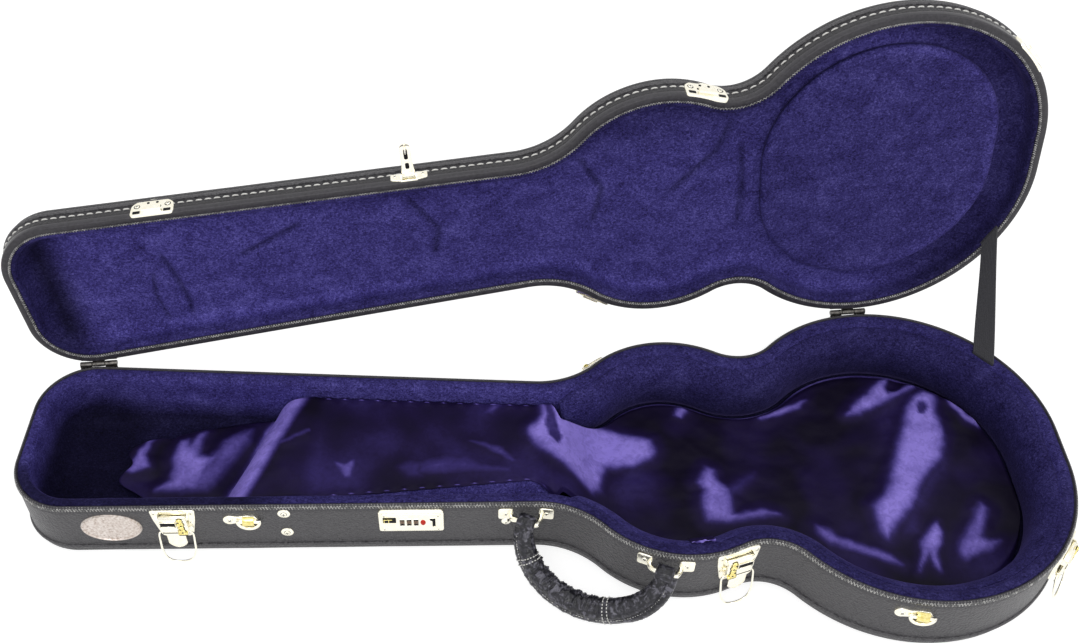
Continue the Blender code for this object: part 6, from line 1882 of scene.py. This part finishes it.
def build_hinge(index):
    """Two leaves with rolled knuckles on one pin."""
    low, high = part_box(f"hinge_{index}_pin")
    centre = (Vector(low) + Vector(high)) / 2
    axis = -Vector(joints["lid_hinge"]["axis"])
    place = wall_matrix(-axis, centre, HINGE_OUT)
    z = joints["lid_hinge"]["pos_m"][2]
    leaves = []
    for way, turn in ((-1, 0), (1, 1)):
        # Leaves and pin in the dark hinge metal, painted shade
        leaf = Shape(HINGE_METAL_PAINTED_SHADE, BLACK_PART_AND_PAINTED_SHADE)
        low, high = sorted((z + way * LEAF_NEAR, z + way * LEAF_FAR))
        leaf.slab(soft_box(-HINGE_HALF_WIDTH, HINGE_HALF_WIDTH, low, high, 0.002), PLATE_BACK, LEAF_FRONT)
        for x in HINGE_SCREWS:
            leaf.screw(x, z + way * 0.0125, LEAF_FRONT, 0.0019, turn + x * 50)
        leaves.append(leaf)
    base, lid = leaves
    for left, right in ((-HINGE_HALF_WIDTH, -BASE_KNUCKLE_START), (BASE_KNUCKLE_START, HINGE_HALF_WIDTH)):
        base.bar(left, right, HINGE_OUT, z, KNUCKLE_RADIUS)
        base.slab(box_outline(left, right, z - 0.0045, z - 0.0002), *KNUCKLE_LIP)
    lid.bar(-LID_KNUCKLE_HALF, LID_KNUCKLE_HALF, HINGE_OUT, z, KNUCKLE_RADIUS)
    lid.slab(box_outline(-LID_KNUCKLE_HALF, LID_KNUCKLE_HALF, z + 0.0002, z + 0.0045), *KNUCKLE_LIP)
    dress(base.piece(f"hinge_{index}_lower_leaf", place), "base", "gold", f"hinge_{index}_base_leaf")
    dress(opened(lid.piece(f"hinge_{index}_upper_leaf", place)), "lid", "gold", f"hinge_{index}_lid_leaf")
    pin = Shape(HINGE_METAL_PAINTED_SHADE).bar(-HINGE_HALF_WIDTH, HINGE_HALF_WIDTH, HINGE_OUT, z, 0.0013, sides=14)
    dress(pin.piece(f"hinge_{index}_round_pin", place), "base", "gold", f"hinge_{index}_pin")


def build_hardware():
    for index, side in ((1, 1), (2, -1), (3, 1), (4, 1)):
        build_latch(index, side)
    build_lock()
    build_hasp()
    build_handle()
    build_bracket("handle_left_link", "handle_bracket_left", HANDLE_SHARES[0], -1, True)
    build_bracket("handle_right_link", "handle_bracket_right", HANDLE_SHARES[1], 1, False)
    for index in (1, 2):
        build_anchor(index)
        build_hinge(index)
    build_pull_tab()
    build_badge()
    build_rivets()


# Stage, light and camera
SENSOR = 36.0
PLAIN_LIGHT = 0.50
FLOOR_HALF = 6
FLOOR_DROP = 0.0008
FLOOR_GREY = (0.50, 0.50, 0.50, 1)
FLOOR_GLOW = 0.78


def build_camera():
    data = bpy.data.cameras.new("camera")
    data.sensor_width = SENSOR
    data.lens = FOCAL_PIXELS / PHOTO_WIDTH * SENSOR
    data.shift_x = (PHOTO_WIDTH / 2 - PRINCIPAL_X) / PHOTO_WIDTH
    data.shift_y = (PRINCIPAL_Y - PHOTO_HEIGHT / 2) / PHOTO_WIDTH
    camera = bpy.data.objects.new("camera", data)
    turn = CAMERA_TURN @ Matrix.Rotation(math.pi / 2, 3, "X")
    camera.matrix_world = Matrix.Translation(CAMERA_PLACE) @ turn.to_4x4()
    bpy.context.scene.collection.objects.link(camera)
    bpy.context.scene.camera = camera


def seen_directly(tree):
    """1 for camera, glossy and transmission rays, 0 for the rest."""
    path = tree.nodes.new("ShaderNodeLightPath")
    total = path.outputs["Is Camera Ray"]
    for other in ("Is Glossy Ray", "Is Transmission Ray"):
        either = tree.nodes.new("ShaderNodeMath")
        either.operation = "MAXIMUM"
        tree.links.new(total, either.inputs[0])
        tree.links.new(path.outputs[other], either.inputs[1])
        total = either.outputs["Value"]
    return total


def build_world():
    world = bpy.data.worlds.new("plain_studio")
    bpy.context.scene.world = world
    world.use_nodes = True
    tree = world.node_tree
    background = tree.nodes["Background"]
    background.inputs["Color"].default_value = (1, 1, 1, 1)
    strength = tree.nodes.new("ShaderNodeMapRange")
    strength.inputs["To Min"].default_value = PLAIN_LIGHT
    strength.inputs["To Max"].default_value = 1.0
    tree.links.new(seen_directly(tree), strength.inputs["Value"])
    tree.links.new(strength.outputs["Result"], background.inputs["Strength"])


def build_floor():
    """Pale floor that shows white where lit and keeps a light shadow."""
    corners = [(x * FLOOR_HALF, y * FLOOR_HALF, -FLOOR_DROP) for x, y in ((-1, -1), (1, -1), (1, 1), (-1, 1))]
    item = piece_from("floor", corners, [(0, 1, 2, 3)], bpy.data.materials.new("floor_pale"), smooth=False)
    finish = item.data.materials[0]
    finish.use_nodes = True
    tree = finish.node_tree
    shader = tree.nodes["Principled BSDF"]
    shader.inputs["Base Color"].default_value = FLOOR_GREY
    shader.inputs["Roughness"].default_value = 0.9
    shader.inputs["Emission Color"].default_value = (1, 1, 1, 1)
    glow = tree.nodes.new("ShaderNodeMath")
    glow.operation = "MULTIPLY"
    glow.inputs[1].default_value = FLOOR_GLOW
    tree.links.new(seen_directly(tree), glow.inputs[0])
    tree.links.new(glow.outputs["Value"], shader.inputs["Emission Strength"])


def build_lights():
    places = (("key", (-0.5, -2.2, 2.4), 26.0, 1.6), ("side", (2.2, -1.0, 1.6), 9.0, 1.2),
              ("top", (0.0, 0.4, 2.8), 9.0, 2.0))
    for name, place, power, size in places:
        data = bpy.data.lights.new(name, "AREA")
        data.energy = power
        data.size = size
        lamp = bpy.data.objects.new(name, data)
        lamp.location = place
        lamp.rotation_euler = (Vector((0, 0, 0.1)) - Vector(place)).to_track_quat("-Z", "Y").to_euler()
        bpy.context.scene.collection.objects.link(lamp)


SLOT_FINISH = {"tolex": VINYL, "binding": BINDING, "plush": PLUSH, "satin": SATIN, "gold": GOLD,
               "leather": LEATHER, "webbing": WEBBING, "dial": DIAL, "slider": BLACK_PART_AND_PAINTED_SHADE, "indicator": RED,
               "badge": BADGE}


def paint_nodes():
    """Gives every carried-over node the finish of its material slot."""
    for entry in frame["record"]["subparts"]:
        item = nodes[entry["node"]]
        item.data.materials.clear()
        item.data.materials.append(SLOT_FINISH[entry["material_slot"]])


paint_nodes()
build_shells()
build_stitches()
build_lid_lining()
build_lid_pad()
build_base_lining()
build_bolster()
build_block()
build_satin()
build_strap()
build_hardware()
build_camera()
build_world()
build_floor()
build_lights()
bpy.context.scene.view_settings.view_transform = "Standard"
